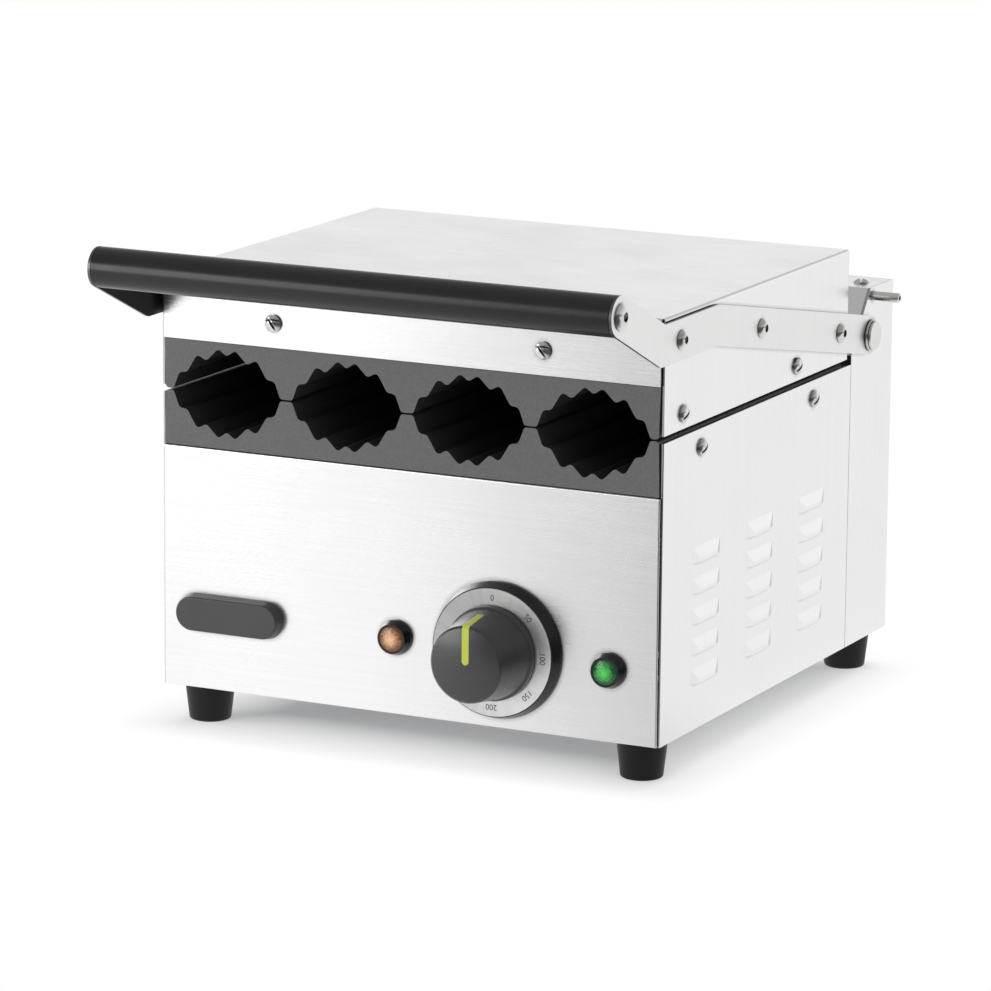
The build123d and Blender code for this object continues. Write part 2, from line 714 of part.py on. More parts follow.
def bar_outline(points, half_width):
    """Both edges of a bar of even width along a bent line, with mitred bends."""
    upper = []
    lower = []
    for index, (y, z) in enumerate(points):
        turns = []
        for first, second in ((index - 1, index), (index, index + 1)):
            if first >= 0 and second < len(points):
                rise = points[second][1] - points[first][1]
                run = points[second][0] - points[first][0]
                turns.append(atan2(rise, run))
        heading = sum(turns) / len(turns)
        reach = half_width / cos((turns[-1] - turns[0]) / 2)
        upper.append((y - reach * sin(heading), z + reach * cos(heading)))
        lower.append((y + reach * sin(heading), z - reach * cos(heading)))
    return upper + lower[::-1]


with BuildPart() as lid_arm_right:
    with BuildSketch(along(arm_inner_x)):
        with BuildLine():
            outline = [(front_y + y, z) for y, z in bar_outline(arm_points, arm_width / 2)]
            FilletPolyline(*outline, radius=2 * [0, arm_bend_round, arm_bend_round, 0], close=True)
        make_face()
        with Locations((handle_y, handle_z), (pivot.Y, pivot.Z)):
            Circle(arm_width / 2)
        with Locations((handle_y, handle_z)):
            Circle(clearance_hole(handle_screw_diameter) / 2, mode=Mode.SUBTRACT)
        with Locations((pivot.Y, pivot.Z)):
            Circle(shaft_hole / 2, mode=Mode.SUBTRACT)
        with Locations(*[(front_y + y, z) for y, z in arm_screws_at]):
            Circle(clearance_hole(arm_screw_diameter) / 2, mode=Mode.SUBTRACT)
    extrude(amount=arm_thickness)
mirrored_pair("lid_arm_left", "lid_arm_right", lid_arm_right)

with BuildPart() as arm_spacers:
    for side in sides():
        for screw_y, screw_z in arm_screws_at:
            start = (side * side_x, front_y + screw_y, screw_z)
            end = (side * arm_inner_x, front_y + screw_y, screw_z)
            rod(start, end, 12.0)
            rod(start, end, clearance_hole(arm_screw_diameter), Mode.SUBTRACT)
finish(arm_spacers, "arm_spacers")


def side_planes(x, places):
    """Planes facing outwards on both sides."""
    return [Plane(origin=(side * x, front_y + y, z), z_dir=(side, 0, 0))
            for side in sides() for y, z in places]


with BuildPart() as arm_screws:
    with Locations(*side_planes(arm_outer_x, arm_screws_at)):
        add(arm_screw)
finish(arm_screws, "arm_screws")
with BuildPart() as arm_nuts:
    for plane in side_planes(inside_x - 5.0, high_arm_screws):
        with BuildSketch(plane) as nut:
            RegularPolygon(5.0, 6, major_radius=False)
            Circle(clearance_hole(arm_screw_diameter) / 2, mode=Mode.SUBTRACT)
        extrude(nut.sketch, amount=5.0)
finish(arm_nuts, "arm_nuts")
with BuildPart() as lid_screws:
    with Locations(*side_planes(side_x, lid_side_screws)):
        add(slotted_screw)
    for side in sides():
        head_place = (side * lid_front_screw_x, front_y, lid_front_screw_z)
        with Locations(Plane(origin=head_place, z_dir=(0, -1, 0))):
            add(slotted_screw)
finish(lid_screws, "lid_screws")
with BuildPart() as base_screws:
    with Locations(*side_planes(side_x, base_side_screws)):
        add(slotted_screw)
finish(base_screws, "base_screws")

# Hinge: a shaft through both cheeks turns in bushes and carries the arms
collar_diameter = 18.0
collar_length = 1.6
cap_diameter = 16.6
cap_length = 1.8
cap_round = 0.6
groove_chamfer = 0.5
cap_thread = 1.0
bush_length = 8.0
collar_end_x = arm_outer_x + collar_length
shaft_end_x = collar_end_x + cap_thread
bush_end_x = side_x + 0.6
bush_shoulder = 2.0
with BuildPart() as hinge_shaft:
    cross_rod(-shaft_end_x, shaft_end_x, pivot.Y, pivot.Z, shaft_diameter)
finish(hinge_shaft, "hinge_shaft")
with BuildPart() as hinge_bushes:
    for side in sides():
        inner_end_x = side * (inside_x - bush_length)
        shoulder_x = side * (inside_x - bush_shoulder)
        cross_rod(inner_end_x, side * bush_end_x, pivot.Y, pivot.Z, bush_diameter - 2 * running_fit)
        cross_rod(shoulder_x, side * inside_x, pivot.Y, pivot.Z, bush_diameter + 3)
        cross_rod(inner_end_x, side * bush_end_x, pivot.Y, pivot.Z, shaft_hole, Mode.SUBTRACT)
finish(hinge_bushes, "hinge_bushes")
with BuildPart() as pivot_collars:
    for side in sides():
        cross_rod(side * arm_outer_x, side * collar_end_x, pivot.Y, pivot.Z, collar_diameter)
    chamfer(pivot_collars.edges().filter_by(GeomType.CIRCLE), groove_chamfer)
    cross_rod(-collar_end_x, collar_end_x, pivot.Y, pivot.Z, shaft_hole, Mode.SUBTRACT)
finish(pivot_collars, "pivot_collars")
with BuildPart() as pivot_caps:
    for side in sides():
        cross_rod(side * collar_end_x, side * (collar_end_x + cap_length), pivot.Y, pivot.Z, cap_diameter)
    rims = pivot_caps.edges().filter_by(GeomType.CIRCLE).group_by(Axis.X)
    fillet(rims[0] + rims[-1], cap_round)
    chamfer(rims[1] + rims[-2], groove_chamfer)
    cross_rod(-shaft_end_x, shaft_end_x, pivot.Y, pivot.Z, shaft_hole, Mode.SUBTRACT)
finish(pivot_caps, "pivot_caps")

# Stop rod across the rear housing: the arms rest on its ends when the lid is fully open
stop_end_x = side_x + stop_rod_reach
stop_bore_depth = 12.0
with BuildPart() as stop_rod:
    cross_rod(-stop_end_x, stop_end_x, stop_y, stop_z, stop_rod_diameter)
    chamfer(stop_rod.edges().filter_by(GeomType.CIRCLE), 0.5)
    for side in sides():
        bore_end_x = side * (stop_end_x - stop_bore_depth)
        cross_rod(side * (stop_end_x + 1), bore_end_x, stop_y, stop_z, stop_rod_bore, Mode.SUBTRACT)
finish(stop_rod, "stop_rod")

# Balance springs: coils round the shaft, one leg behind the stop rod and one on the crank's pin
crank_radius = 14.0
crank_pin_diameter = 4.0
crank_hub_length = 8.0
crank_hub_diameter = 14.0
crank_web = 4.0
crank_web_height = 6.0
spring_wire = 2.2
spring_radius = 6.3
spring_pitch = 2.6
spring_turns = 6
stop_leg = 23.0
crank_leg = 16.0
stop_gap = (spring_wire + stop_rod_diameter) / 2 + close_gap
pin_gap = (spring_wire + crank_pin_diameter) / 2 + close_gap
stop_offset = Vector(0, stop_y - pivot.Y, stop_z - pivot.Z)
stop_leg_angle = atan2(stop_offset.Z, stop_offset.Y) - acos((spring_radius - stop_gap) / stop_offset.length)
crank_leg_angle = acos((spring_radius - pin_gap) / crank_radius)
spring_sweep = spring_turns + ((stop_leg_angle - crank_leg_angle) / (2 * pi)) % 1
spring_outer_x = inside_x - bush_length - 4.0
spring_inner_x = spring_outer_x - spring_pitch * spring_sweep
crank_x = spring_inner_x - spring_wire - 3.0

with BuildPart() as coil:
    with BuildLine() as coil_path:
        Helix(spring_pitch, spring_pitch * spring_sweep, spring_radius)
    coil_ends = [(coil_path.line @ end, coil_path.line % end) for end in (0, 1)]
    with BuildSketch(Plane(origin=coil_ends[0][0], z_dir=coil_ends[0][1])):
        Circle(spring_wire / 2)
    sweep(path=coil_path.line, is_frenet=True)
    rod(coil_ends[0][0], coil_ends[0][0] - coil_ends[0][1] * stop_leg, spring_wire)
    rod(coil_ends[1][0], coil_ends[1][0] + coil_ends[1][1] * crank_leg, spring_wire)
with BuildPart() as balance_spring_right:
    leg_direction = (0, cos(stop_leg_angle), sin(stop_leg_angle))
    with Locations(Plane(origin=(spring_outer_x, pivot.Y, pivot.Z), x_dir=leg_direction, z_dir=(-1, 0, 0))):
        add(coil.part)
mirrored_pair("balance_spring_left", "balance_spring_right", balance_spring_right)

crank_pin_y = pivot.Y + crank_radius
crank_hub_end_x = crank_x - crank_hub_length
pin_end_x = spring_inner_x + spring_wire
with BuildPart() as spring_cranks:
    for side in sides():
        web = sorted((side * crank_x, side * (crank_x - crank_web)))
        half_web = crank_web_height / 2
        cross_rod(side * crank_x, side * crank_hub_end_x, pivot.Y, pivot.Z, crank_hub_diameter)
        block((web[0], pivot.Y, pivot.Z - half_web), (web[1], crank_pin_y, pivot.Z + half_web))
        cross_rod(web[0], web[1], crank_pin_y, pivot.Z, crank_web_height)
        cross_rod(side * crank_x, side * pin_end_x, crank_pin_y, pivot.Z, crank_pin_diameter)
        cross_rod(side * crank_x, side * crank_hub_end_x, pivot.Y, pivot.Z, shaft_hole, Mode.SUBTRACT)
finish(spring_cranks, "spring_cranks")

# Handle: a tube on a threaded core between the arms, with a collar at each end
handle_half = arm_inner_x - handle_collar_width
collar_round = 0.6
core_half = arm_inner_x - close_gap
handle_thread_depth = 20.0
with BuildPart() as handle_grip:
    cross_rod(-handle_half, handle_half, handle_y, handle_z, handle_diameter)
    cross_rod(-handle_half, handle_half, handle_y, handle_z, handle_bore, Mode.SUBTRACT)
finish(handle_grip, "handle_grip")
with BuildPart() as handle_collars:
    for side in sides():
        cross_rod(side * handle_half, side * arm_inner_x, handle_y, handle_z, handle_diameter)
    rims = handle_collars.edges().filter_by(GeomType.CIRCLE).group_by(Axis.X)
    fillet(rims[0] + rims[-1], collar_round)
    cross_rod(-arm_inner_x, arm_inner_x, handle_y, handle_z, handle_bore, Mode.SUBTRACT)
finish(handle_collars, "handle_collars")
with BuildPart() as handle_core:
    cross_rod(-core_half, core_half, handle_y, handle_z, handle_core_diameter)
    for side in sides():
        thread_end_x = side * (arm_outer_x - handle_thread_depth)
        cross_rod(side * core_half, thread_end_x, handle_y, handle_z, clearance_hole(handle_screw_diameter),
                  Mode.SUBTRACT)
finish(handle_core, "handle_core")
with BuildPart() as handle_screws:
    with Locations(*side_planes(arm_outer_x, [(-handle_reach, handle_z)])):
        add(handle_screw)
finish(handle_screws, "handle_screws")

# Thermostat behind the panel, its shaft in front, and the capillary back to the bulb in the lower plate
thermostat_width = 44.0
thermostat_depth = 30.0
thermostat_height = 34.0
thermostat_front_y = front_y + sheet + close_gap
thermostat_back_y = thermostat_front_y + thermostat_depth
neck_radius = 5.0
shaft_seat = 8.0
neck_reach = 2.5
tag_spacing = 24.0
tag_reach = 9.0
with BuildPart() as thermostat:
    half_width = thermostat_width / 2
    half_height = thermostat_height / 2
    block((dial_x - half_width, thermostat_front_y, dial_centre_z - half_height),
          (dial_x + half_width, thermostat_back_y, dial_centre_z + half_height))
    fillet(thermostat.edges().filter_by(Axis.Y), 3)
    turned(dial_x, dial_centre_z, ((-4, 0), (-4, neck_radius), (neck_reach, neck_radius), (neck_reach, 0)))
    for side in sides():
        tag_x = dial_x + side * tag_spacing / 2
        block((tag_x - 3, thermostat_back_y - 1, dial_centre_z - 0.4),
              (tag_x + 3, thermostat_back_y + tag_reach, dial_centre_z + 0.4))
    for screw_x in thermostat_screw_places:
        depth_rod(front_y, front_y + 11, screw_x, dial_centre_z, clearance_hole(small_screw_diameter),
                  Mode.SUBTRACT)
    depth_rod(front_y - neck_reach - 1, front_y + sheet + shaft_seat, dial_x, dial_centre_z,
              control_shaft_diameter + 2 * running_fit, Mode.SUBTRACT)
finish(thermostat, "thermostat")
with BuildPart() as thermostat_screws:
    for screw_x in thermostat_screw_places:
        with Locations(Plane(origin=(screw_x, front_y, dial_centre_z), z_dir=(0, -1, 0))):
            add(small_screw)
finish(thermostat_screws, "thermostat_screws")
bulb_stub = 0.5
capillary_standoff = 4.5
drop_y = plate_back_y + capillary_standoff
run_z = shield_z - capillary_drop
capillary_turn = 3.5
capillary_bends = (15.0, 30.0, 15.0)
port_run = 25.0
capillary_run_inset = 120.0
run_front_y = front_y + capillary_run_inset
bulb_end = (0, plate_back_y + bulb_stub, bulb_z)
port_rise = 10.0
port_z = dial_centre_z + port_rise
with BuildPart() as capillary_bulb:
    rod((0, plate_back_y - bulb_length, bulb_z), bulb_end, bulb_diameter)
    with BuildLine() as capillary:
        FilletPolyline(bulb_end, (0, drop_y, bulb_z), (0, drop_y, run_z), (0, run_front_y, run_z),
                       (dial_x, thermostat_back_y + port_run, port_z), (dial_x, thermostat_back_y, port_z),
                       radius=[capillary_turn, *capillary_bends])
    with BuildSketch(Plane(origin=bulb_end, z_dir=(0, 1, 0))) as bore:
        Circle(capillary_diameter / 2)
    sweep(bore.sketch, path=capillary.line)
finish(capillary_bulb, "capillary_bulb")

# Dial: tapered base, printed scale and turning knob
scale_reach = dial_thickness + scale_thickness
dial_outer = dial_base_diameter / 2
dial_inner = dial_front_diameter / 2
dial_bore = 8.0
dial_step = 1.5
recess_radius = (thermostat_screw_spacing + small_screw_head) / 2 + 4.5
recess_depth = 4.0
scale_edge = dial_inner - 0.6
with BuildPart() as dial_base:
    turned(dial_x, dial_centre_z, (
        (0, dial_bore), (0, dial_outer), (dial_step, dial_outer), (dial_thickness, dial_inner),
        (dial_thickness, dial_bore)))
    turned(dial_x, dial_centre_z, (
        (-1, dial_bore - 1), (-1, recess_radius), (recess_depth, recess_radius),
        (recess_depth, dial_bore - 1)), Mode.SUBTRACT)
finish(dial_base, "dial_base")
with BuildPart() as dial_scale:
    turned(dial_x, dial_centre_z, (
        (dial_thickness, dial_bore), (dial_thickness, scale_edge), (scale_reach, scale_edge),
        (scale_reach, dial_bore)))
finish(dial_scale, "dial_scale")

knob_start = scale_reach + knob_gap
knob_front = knob_start + knob_depth
knob_skirt = knob_skirt_diameter / 2
knob_face = knob_face_diameter / 2
knob_edge = 1.2
knob_hub = control_shaft_diameter / 2 + knob_hub_wall
knob_bore = control_shaft_diameter / 2 + running_fit
flank_foot = knob_skirt - 1.3
flank_start = 3.2
pointer_foot = 12.0
shaft_tip_depth = 7.0
shaft_tip = knob_front - shaft_tip_depth


def pointer_band(sink, half_width):
    """The strip that follows the knob's flank and face, as one solid to add or to cut."""
    foot = knob_start + pointer_foot
    foot_share = (pointer_foot - flank_start) / (knob_depth - knob_edge - flank_start)
    foot_radius = flank_foot + (knob_face - flank_foot) * foot_share
    proud_front = knob_front + pointer_proud
    with BuildPart() as band:
        turned(dial_x, dial_centre_z, (
            (foot, foot_radius - sink), (foot, foot_radius + pointer_proud),
            (knob_front - knob_edge, knob_face + pointer_proud), (proud_front, knob_face - knob_edge),
            (proud_front, 0), (knob_front - sink, 0),
            (knob_front - sink, knob_face - knob_edge - sink)))
        with BuildSketch(across(front_y)) as slot:
            with Locations((dial_x, dial_centre_z + knob_face - pointer_length + knob_skirt)):
                SlotOverall(2 * knob_skirt, 2 * half_width, rotation=90)
        extrude(slot.sketch, amount=2 * knob_front, mode=Mode.INTERSECT)
    return band.part


with BuildPart() as knob:
    turned(dial_x, dial_centre_z, (
        (knob_start, 0), (knob_start, knob_skirt), (knob_start + 2.5, knob_skirt - 0.3),
        (knob_start + flank_start, flank_foot), (knob_front - knob_edge, knob_face),
        (knob_front, knob_face - knob_edge), (knob_front, 0)))
    turned(dial_x, dial_centre_z, (
        (knob_start - 1, knob_hub), (knob_start - 1, knob_skirt - knob_wall),
        (knob_front - knob_wall, knob_face - knob_wall), (knob_front - knob_wall, knob_hub)), Mode.SUBTRACT)
    depth_rod(front_y - knob_start + 1, front_y - shaft_tip - close_gap, dial_x, dial_centre_z, 2 * knob_bore,
              Mode.SUBTRACT)
    add(pointer_band(pointer_sink + running_fit, pointer_width / 2 + running_fit), mode=Mode.SUBTRACT)
finish(knob, "knob")
with BuildPart() as knob_pointer:
    add(pointer_band(pointer_sink, pointer_width / 2))
finish(knob_pointer, "knob_pointer")
with BuildPart() as control_shaft:
    depth_rod(front_y + sheet + shaft_seat - close_gap, front_y - shaft_tip, dial_x, dial_centre_z,
              control_shaft_diameter)
finish(control_shaft, "control_shaft")

# Indicator lamps: bezel with a tube through the panel, domed lens, and a nut behind
lamp_tube = lamp_tube_diameter / 2
lamp_bore = 4.5
lamp_tube_length = 16.0
lamp_seat = 1.0
bezel_radius = lamp_diameter / 2
lens_radius = bezel_radius - 2.7
lens_hole = lens_radius + running_fit
bezel_edge = 1.6
with BuildPart() as lamp_nuts:
    for lamp_name, lamp_x, lamp_z in lamps:
        with BuildSketch(Plane(origin=(lamp_x, front_y + sheet + close_gap, lamp_z), z_dir=(0, 1, 0))) as nut:
            RegularPolygon(8.5, 6, major_radius=False)
            Circle(clearance_hole(lamp_tube_diameter) / 2, mode=Mode.SUBTRACT)
        extrude(nut.sketch, amount=4.0)
finish(lamp_nuts, "lamp_nuts")
for lamp_name, lamp_x, lamp_z in lamps:
    with BuildPart() as lamp_bezel:
        turned(lamp_x, lamp_z, (
            (-lamp_tube_length, lamp_bore), (-lamp_tube_length, lamp_tube), (0, lamp_tube), (0, bezel_radius),
            (bezel_edge, bezel_radius), (lamp_reach, bezel_radius - bezel_edge), (lamp_reach, lens_hole),
            (lamp_seat, lens_hole), (lamp_seat, lamp_bore)))
    finish(lamp_bezel, lamp_name + "_bezel")
    with BuildPart() as lamp_lens:
        turned(lamp_x, lamp_z, (
            (lamp_seat, 0), (lamp_seat, lens_radius), (lamp_reach + 0.2, lens_radius),
            (lamp_reach + 1.1, lens_radius - 1.6), (lamp_reach + 1.6, lens_radius - 4),
            (lamp_reach + 1.7, 0)))
    finish(lamp_lens, lamp_name + "_lens")

# Name plate, left blank, on two studs
with BuildPart() as name_plate:
    with BuildSketch(across(front_y)):
        with Locations((name_plate_x, name_plate_centre_z)):
            SlotOverall(name_plate_width, name_plate_height)
    extrude(amount=name_plate_thickness, taper=name_plate_taper)
    fillet(name_plate.faces().sort_by(Axis.Y)[0].edges(), 1.0)
    for stud_x in stud_places:
        depth_rod(front_y - 1, front_y + 2 * sheet + 3, stud_x, name_plate_centre_z, stud_diameter)
finish(name_plate, "name_plate")

# Feet with their screws and nuts
for foot_name, (foot_x, foot_y) in feet_places.items():
    with BuildPart() as foot:
        with BuildSketch(Plane(origin=(foot_x, foot_y, 0), x_dir=(1, 0, 0), z_dir=(0, -1, 0))) as half:
            with BuildLine():
                Polyline((0, 0), (foot_bottom_diameter / 2, 0), (foot_top_diameter / 2, foot_height),
                         (0, foot_height), close=True)
            make_face()
        revolve(half.sketch, axis=Axis((foot_x, foot_y, 0), (0, 0, 1)))
        fillet(foot.edges().filter_by(GeomType.CIRCLE).sort_by(Axis.Z)[0], foot_round)
        rod((foot_x, foot_y, -1), (foot_x, foot_y, foot_recess), foot_recess_diameter, Mode.SUBTRACT)
        rod((foot_x, foot_y, 0), (foot_x, foot_y, foot_height + 1), foot_hole, Mode.SUBTRACT)
    finish(foot, foot_name)
with BuildPart() as foot_screws:
    for foot_x, foot_y in feet_places.values():
        with Locations(Plane(origin=(foot_x, foot_y, foot_recess), z_dir=(0, 0, -1))):
            add(foot_screw)
        floor_z = case_z + (2 * sheet if foot_y < front_y + case_depth / 2 else sheet)
        with BuildSketch(Plane.XY.offset(floor_z)) as nut:
            with Locations((foot_x, foot_y)):
                RegularPolygon(3.5, 6, major_radius=False)
        extrude(nut.sketch, amount=3.2)
finish(foot_screws, "foot_screws")

# Terminal block for the lead, on the bottom plate inside the rear housing
block_length = 46.0
block_depth = 20.0
block_height = 17.0
way_pitch = 14.0
way_row = 5.0
way_height = 7.0
way_bore = 5.0
way_screw_diameter = 4.0
terminal_behind_case = 24.0
terminal_y = front_y + case_depth + terminal_behind_case
terminal_z = case_z + sheet
with BuildPart() as terminal_block:
    block((gland_x - block_length / 2, terminal_y - block_depth / 2, terminal_z),
          (gland_x + block_length / 2, terminal_y + block_depth / 2, terminal_z + block_height))
    for index in (-1, 0, 1):
        way_x = gland_x + index * way_pitch
        depth_rod(terminal_y - block_depth, terminal_y + block_depth, way_x, terminal_z + way_height,
                  way_bore, Mode.SUBTRACT)
        for way_y in (terminal_y - way_row, terminal_y + way_row):
            screw_hole_end = (way_x, way_y, terminal_z + block_height + 1)
            screw_hole_start = (way_x, way_y, terminal_z + way_height + 3)
            rod(screw_hole_start, screw_hole_end, way_screw_diameter, Mode.SUBTRACT)
finish(terminal_block, "terminal_block")

# Gland for the lead in the back of the rear housing
gland_flange = 5.0
gland_inside = 9.0
gland_dome = 20.0
gland_across_flats = 22.0
gland_end_y = back_y - sheet - gland_inside
with BuildPart() as lead_gland:
    with BuildSketch(Plane(origin=(gland_x, back_y, gland_centre_z), z_dir=(0, 1, 0))) as flange:
        RegularPolygon(gland_across_flats / 2, 6, major_radius=False)
    extrude(flange.sketch, amount=gland_flange)
    depth_rod(back_y, back_y + gland_reach, gland_x, gland_centre_z, gland_dome)
    fillet(lead_gland.edges().filter_by(GeomType.CIRCLE).sort_by(Axis.Y)[-1], 3.5)
    depth_rod(back_y, gland_end_y, gland_x, gland_centre_z, gland_thread)
    depth_rod(gland_end_y - 1, back_y + gland_reach + 1, gland_x, gland_centre_z, gland_bore, Mode.SUBTRACT)
finish(lead_gland, "lead_gland")
with BuildPart() as gland_nut:
    nut_seat = (gland_x, back_y - sheet - close_gap, gland_centre_z)
    with BuildSketch(Plane(origin=nut_seat, z_dir=(0, -1, 0))) as nut:
        RegularPolygon(gland_across_flats / 2, 6, major_radius=False)
        Circle(clearance_hole(gland_thread) / 2, mode=Mode.SUBTRACT)
    extrude(nut.sketch, amount=5.0)
finish(gland_nut, "gland_nut")
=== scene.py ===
import json
import math

import bmesh
import bpy
from mathutils import Matrix, Vector


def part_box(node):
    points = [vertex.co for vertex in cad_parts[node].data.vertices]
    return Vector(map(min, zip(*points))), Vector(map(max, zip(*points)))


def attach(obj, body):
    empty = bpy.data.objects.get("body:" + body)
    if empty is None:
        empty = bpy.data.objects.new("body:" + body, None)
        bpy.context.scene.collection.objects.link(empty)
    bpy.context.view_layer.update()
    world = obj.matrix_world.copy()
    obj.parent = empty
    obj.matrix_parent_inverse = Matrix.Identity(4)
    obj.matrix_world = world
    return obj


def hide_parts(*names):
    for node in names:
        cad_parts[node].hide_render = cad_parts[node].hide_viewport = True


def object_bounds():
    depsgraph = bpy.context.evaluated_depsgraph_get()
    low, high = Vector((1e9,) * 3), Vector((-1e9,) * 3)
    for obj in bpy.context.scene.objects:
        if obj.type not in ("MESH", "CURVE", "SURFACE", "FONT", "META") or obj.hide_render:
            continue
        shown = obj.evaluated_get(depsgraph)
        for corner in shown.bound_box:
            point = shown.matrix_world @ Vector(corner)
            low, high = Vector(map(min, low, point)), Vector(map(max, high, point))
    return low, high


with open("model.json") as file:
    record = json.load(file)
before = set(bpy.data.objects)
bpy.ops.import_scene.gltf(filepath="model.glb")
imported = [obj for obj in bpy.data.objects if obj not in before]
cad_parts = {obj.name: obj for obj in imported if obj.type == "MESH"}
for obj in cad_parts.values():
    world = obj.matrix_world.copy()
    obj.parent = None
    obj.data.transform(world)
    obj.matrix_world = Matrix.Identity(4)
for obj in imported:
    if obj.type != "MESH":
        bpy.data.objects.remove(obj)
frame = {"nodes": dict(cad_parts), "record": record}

cadLow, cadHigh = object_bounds()
nodes = frame["nodes"]
mm = 0.001
noiseMiddle = (0.3, 0.7)  # most of a noise lies between these
print("frame:", len(nodes), "nodes")


# Shader maths: a Signal is one output socket, and sums and products of Signals add Math nodes
class Signal:
    def __init__(self, tree, socket):
        self.tree = tree
        self.socket = socket

    def __add__(self, other):
        return self.tree.maths("ADD", self, other)

    def __sub__(self, other):
        return self.tree.maths("SUBTRACT", self, other)

    def __rsub__(self, other):
        return self.tree.maths("SUBTRACT", other, self)

    def __mul__(self, other):
        return self.tree.maths("MULTIPLY", self, other)

    def __truediv__(self, other):
        return self.tree.maths("DIVIDE", self, other)

    def __pow__(self, other):
        return self.tree.maths("POWER", self, other)

    def __gt__(self, other):
        return self.tree.maths("GREATER_THAN", self, other)

    def __lt__(self, other):
        return self.tree.maths("LESS_THAN", self, other)

    def __abs__(self):
        return self.tree.maths("ABSOLUTE", self)

    __radd__ = __add__


# Any tree that is built here: node() takes the type, the settings and what goes into the sockets
class Tree:
    def __init__(self, nodeTree):
        self.nodeTree = nodeTree
        nodeTree.nodes.clear()

    def plug(self, socket, value):
        if isinstance(value, Signal):
            self.nodeTree.links.new(value.socket, socket)
        else:
            socket.default_value = value

    def node(self, kind, settings=(), inputs=()):
        made = self.nodeTree.nodes.new(kind)
        for name, value in dict(settings).items():
            setattr(made, name, value)
        for name, value in dict(inputs).items():
            self.plug(made.inputs[name], value)
        return made

    def out(self, made, name=0):
        return Signal(self, made.outputs[name])

    def signal(self, kind, settings=(), inputs=(), name=0):
        return self.out(self.node(kind, settings, inputs), name)

    def maths(self, operation, *values):
        return self.signal("ShaderNodeMath", {"operation": operation}, dict(enumerate(values)))

    def split(self, vector):
        made = self.node("ShaderNodeSeparateXYZ", {}, {0: vector})
        return [self.out(made, index) for index in range(3)]

    def joined(self, x, y, z):
        return self.signal("ShaderNodeCombineXYZ", {}, {0: x, 1: y, 2: z})

    def scaled(self, vector, sizes):
        return self.signal("ShaderNodeVectorMath", {"operation": "MULTIPLY"}, {0: vector, 1: sizes})

    def noise(self, vector, scale=1.0, detail=3.0, rough=0.6):
        inputs = {"Vector": vector, "Scale": scale, "Detail": detail, "Roughness": rough}
        return self.signal("ShaderNodeTexNoise", {}, inputs)

    def broadNoise(self, vector, scale=1.0):
        return self.noise(vector, scale, 2.0, 0.5)

    def between(self, value, low, high, toLow=0.0, toHigh=1.0):
        inputs = {0: value, 1: low, 2: high, 3: toLow, 4: toHigh}
        return self.signal("ShaderNodeMapRange", {"clamp": True}, inputs)

    # A noise made into a level that goes a little under and over the middle one
    def varied(self, noise, middle, under, over):
        return self.between(noise, *noiseMiddle, middle - under, middle + over)

    def mixed(self, factor, first, second):
        return self.signal("ShaderNodeMix", {"data_type": "RGBA"}, {0: factor, 6: first, 7: second}, 2)


class Finish(Tree):
    def __init__(self, name):
        self.material = bpy.data.materials.new(name)
        self.material.use_nodes = True
        super().__init__(self.material.node_tree)
        where = self.node("ShaderNodeTexCoord")
        self.place = self.out(where, "Object")
        self.facing = self.out(where, "Normal")

    def bump(self, height, distance, strength=1.0):
        inputs = {"Height": height, "Distance": distance, "Strength": strength}
        return self.signal("ShaderNodeBump", {}, inputs)

    def tinted(self, tone, colour):
        return self.scaled(self.joined(tone, tone, tone), colour)

    # Painted shade: the colour darkens where ambient occlusion finds little open space around
    def paintedCreaseShade(self, look):
        inputs = {"Distance": look["reach"]}
        light = self.signal("ShaderNodeAmbientOcclusion", {"samples": look["samples"]}, inputs, "AO")
        return 1 - (1 - light) * look["depth"]

    def surface(self, inputs):
        shader = self.signal("ShaderNodeBsdfPrincipled", {}, inputs)
        self.node("ShaderNodeOutputMaterial", {}, {"Surface": shader})
        return self.material


# Painted shade: ambient occlusion darkens the colour of bright metal in tight corners, gaps and grooves
paintedMetalShade = {"reach": 3 * mm, "depth": 0.85, "samples": 6}

# Brushed sheet: the grain runs across fronts and tops, and up and down on the sides
flatFace = 0.7  # a face counts as front or side where its normal goes that way by more
brushedSheet = {
    "colour": (0.93, 0.93, 0.928),
    "roughness": 0.24,
    "grainRoughness": (0.05, 0.05),
    "grainLength": 60 * mm,
    "grainWidth": 0.40 * mm,
    "grainDepth": 0.014 * mm,
    "grainShift": 9,
    "grainShare": 0.6,
    "bandLength": 380 * mm,
    "bandWidth": 2.2 * mm,
    "bandShift": 5,
    "smudges": 14,
    "smudgeMiddle": (0.35, 0.65),
    "smudgeRoughness": (-0.02, 0.03),
    "tone": 0.025,
    "innerFaceShade": 1.0,
    "edgeFaceDullAndShade": 1.0,
    "edgeTurn": 0.5,
    # painted shade on the rear ends of the louvres
    "louvreEndShade": 0.62,
    "louvreEndTurn": 0.1,
    # painted shade: a dark line along the front panel's folded side edges
    "hemShade": 0.55,
    "hemFrom": 147.9 * mm,
    "hemWidth": 0.8 * mm,
}
innerSheet = {**brushedSheet, "colour": (0.62, 0.63, 0.64), "roughness": 0.42}
# Arm bars: painted shade on their inward faces; their edge faces darker, partly as duller cut edges and
# partly as painted shade
armBar = {
    **brushedSheet, "colour": (0.88, 0.88, 0.875), "roughness": 0.32,
    "innerFaceShade": 0.10, "edgeFaceDullAndShade": 0.16, "hemShade": 1.0}


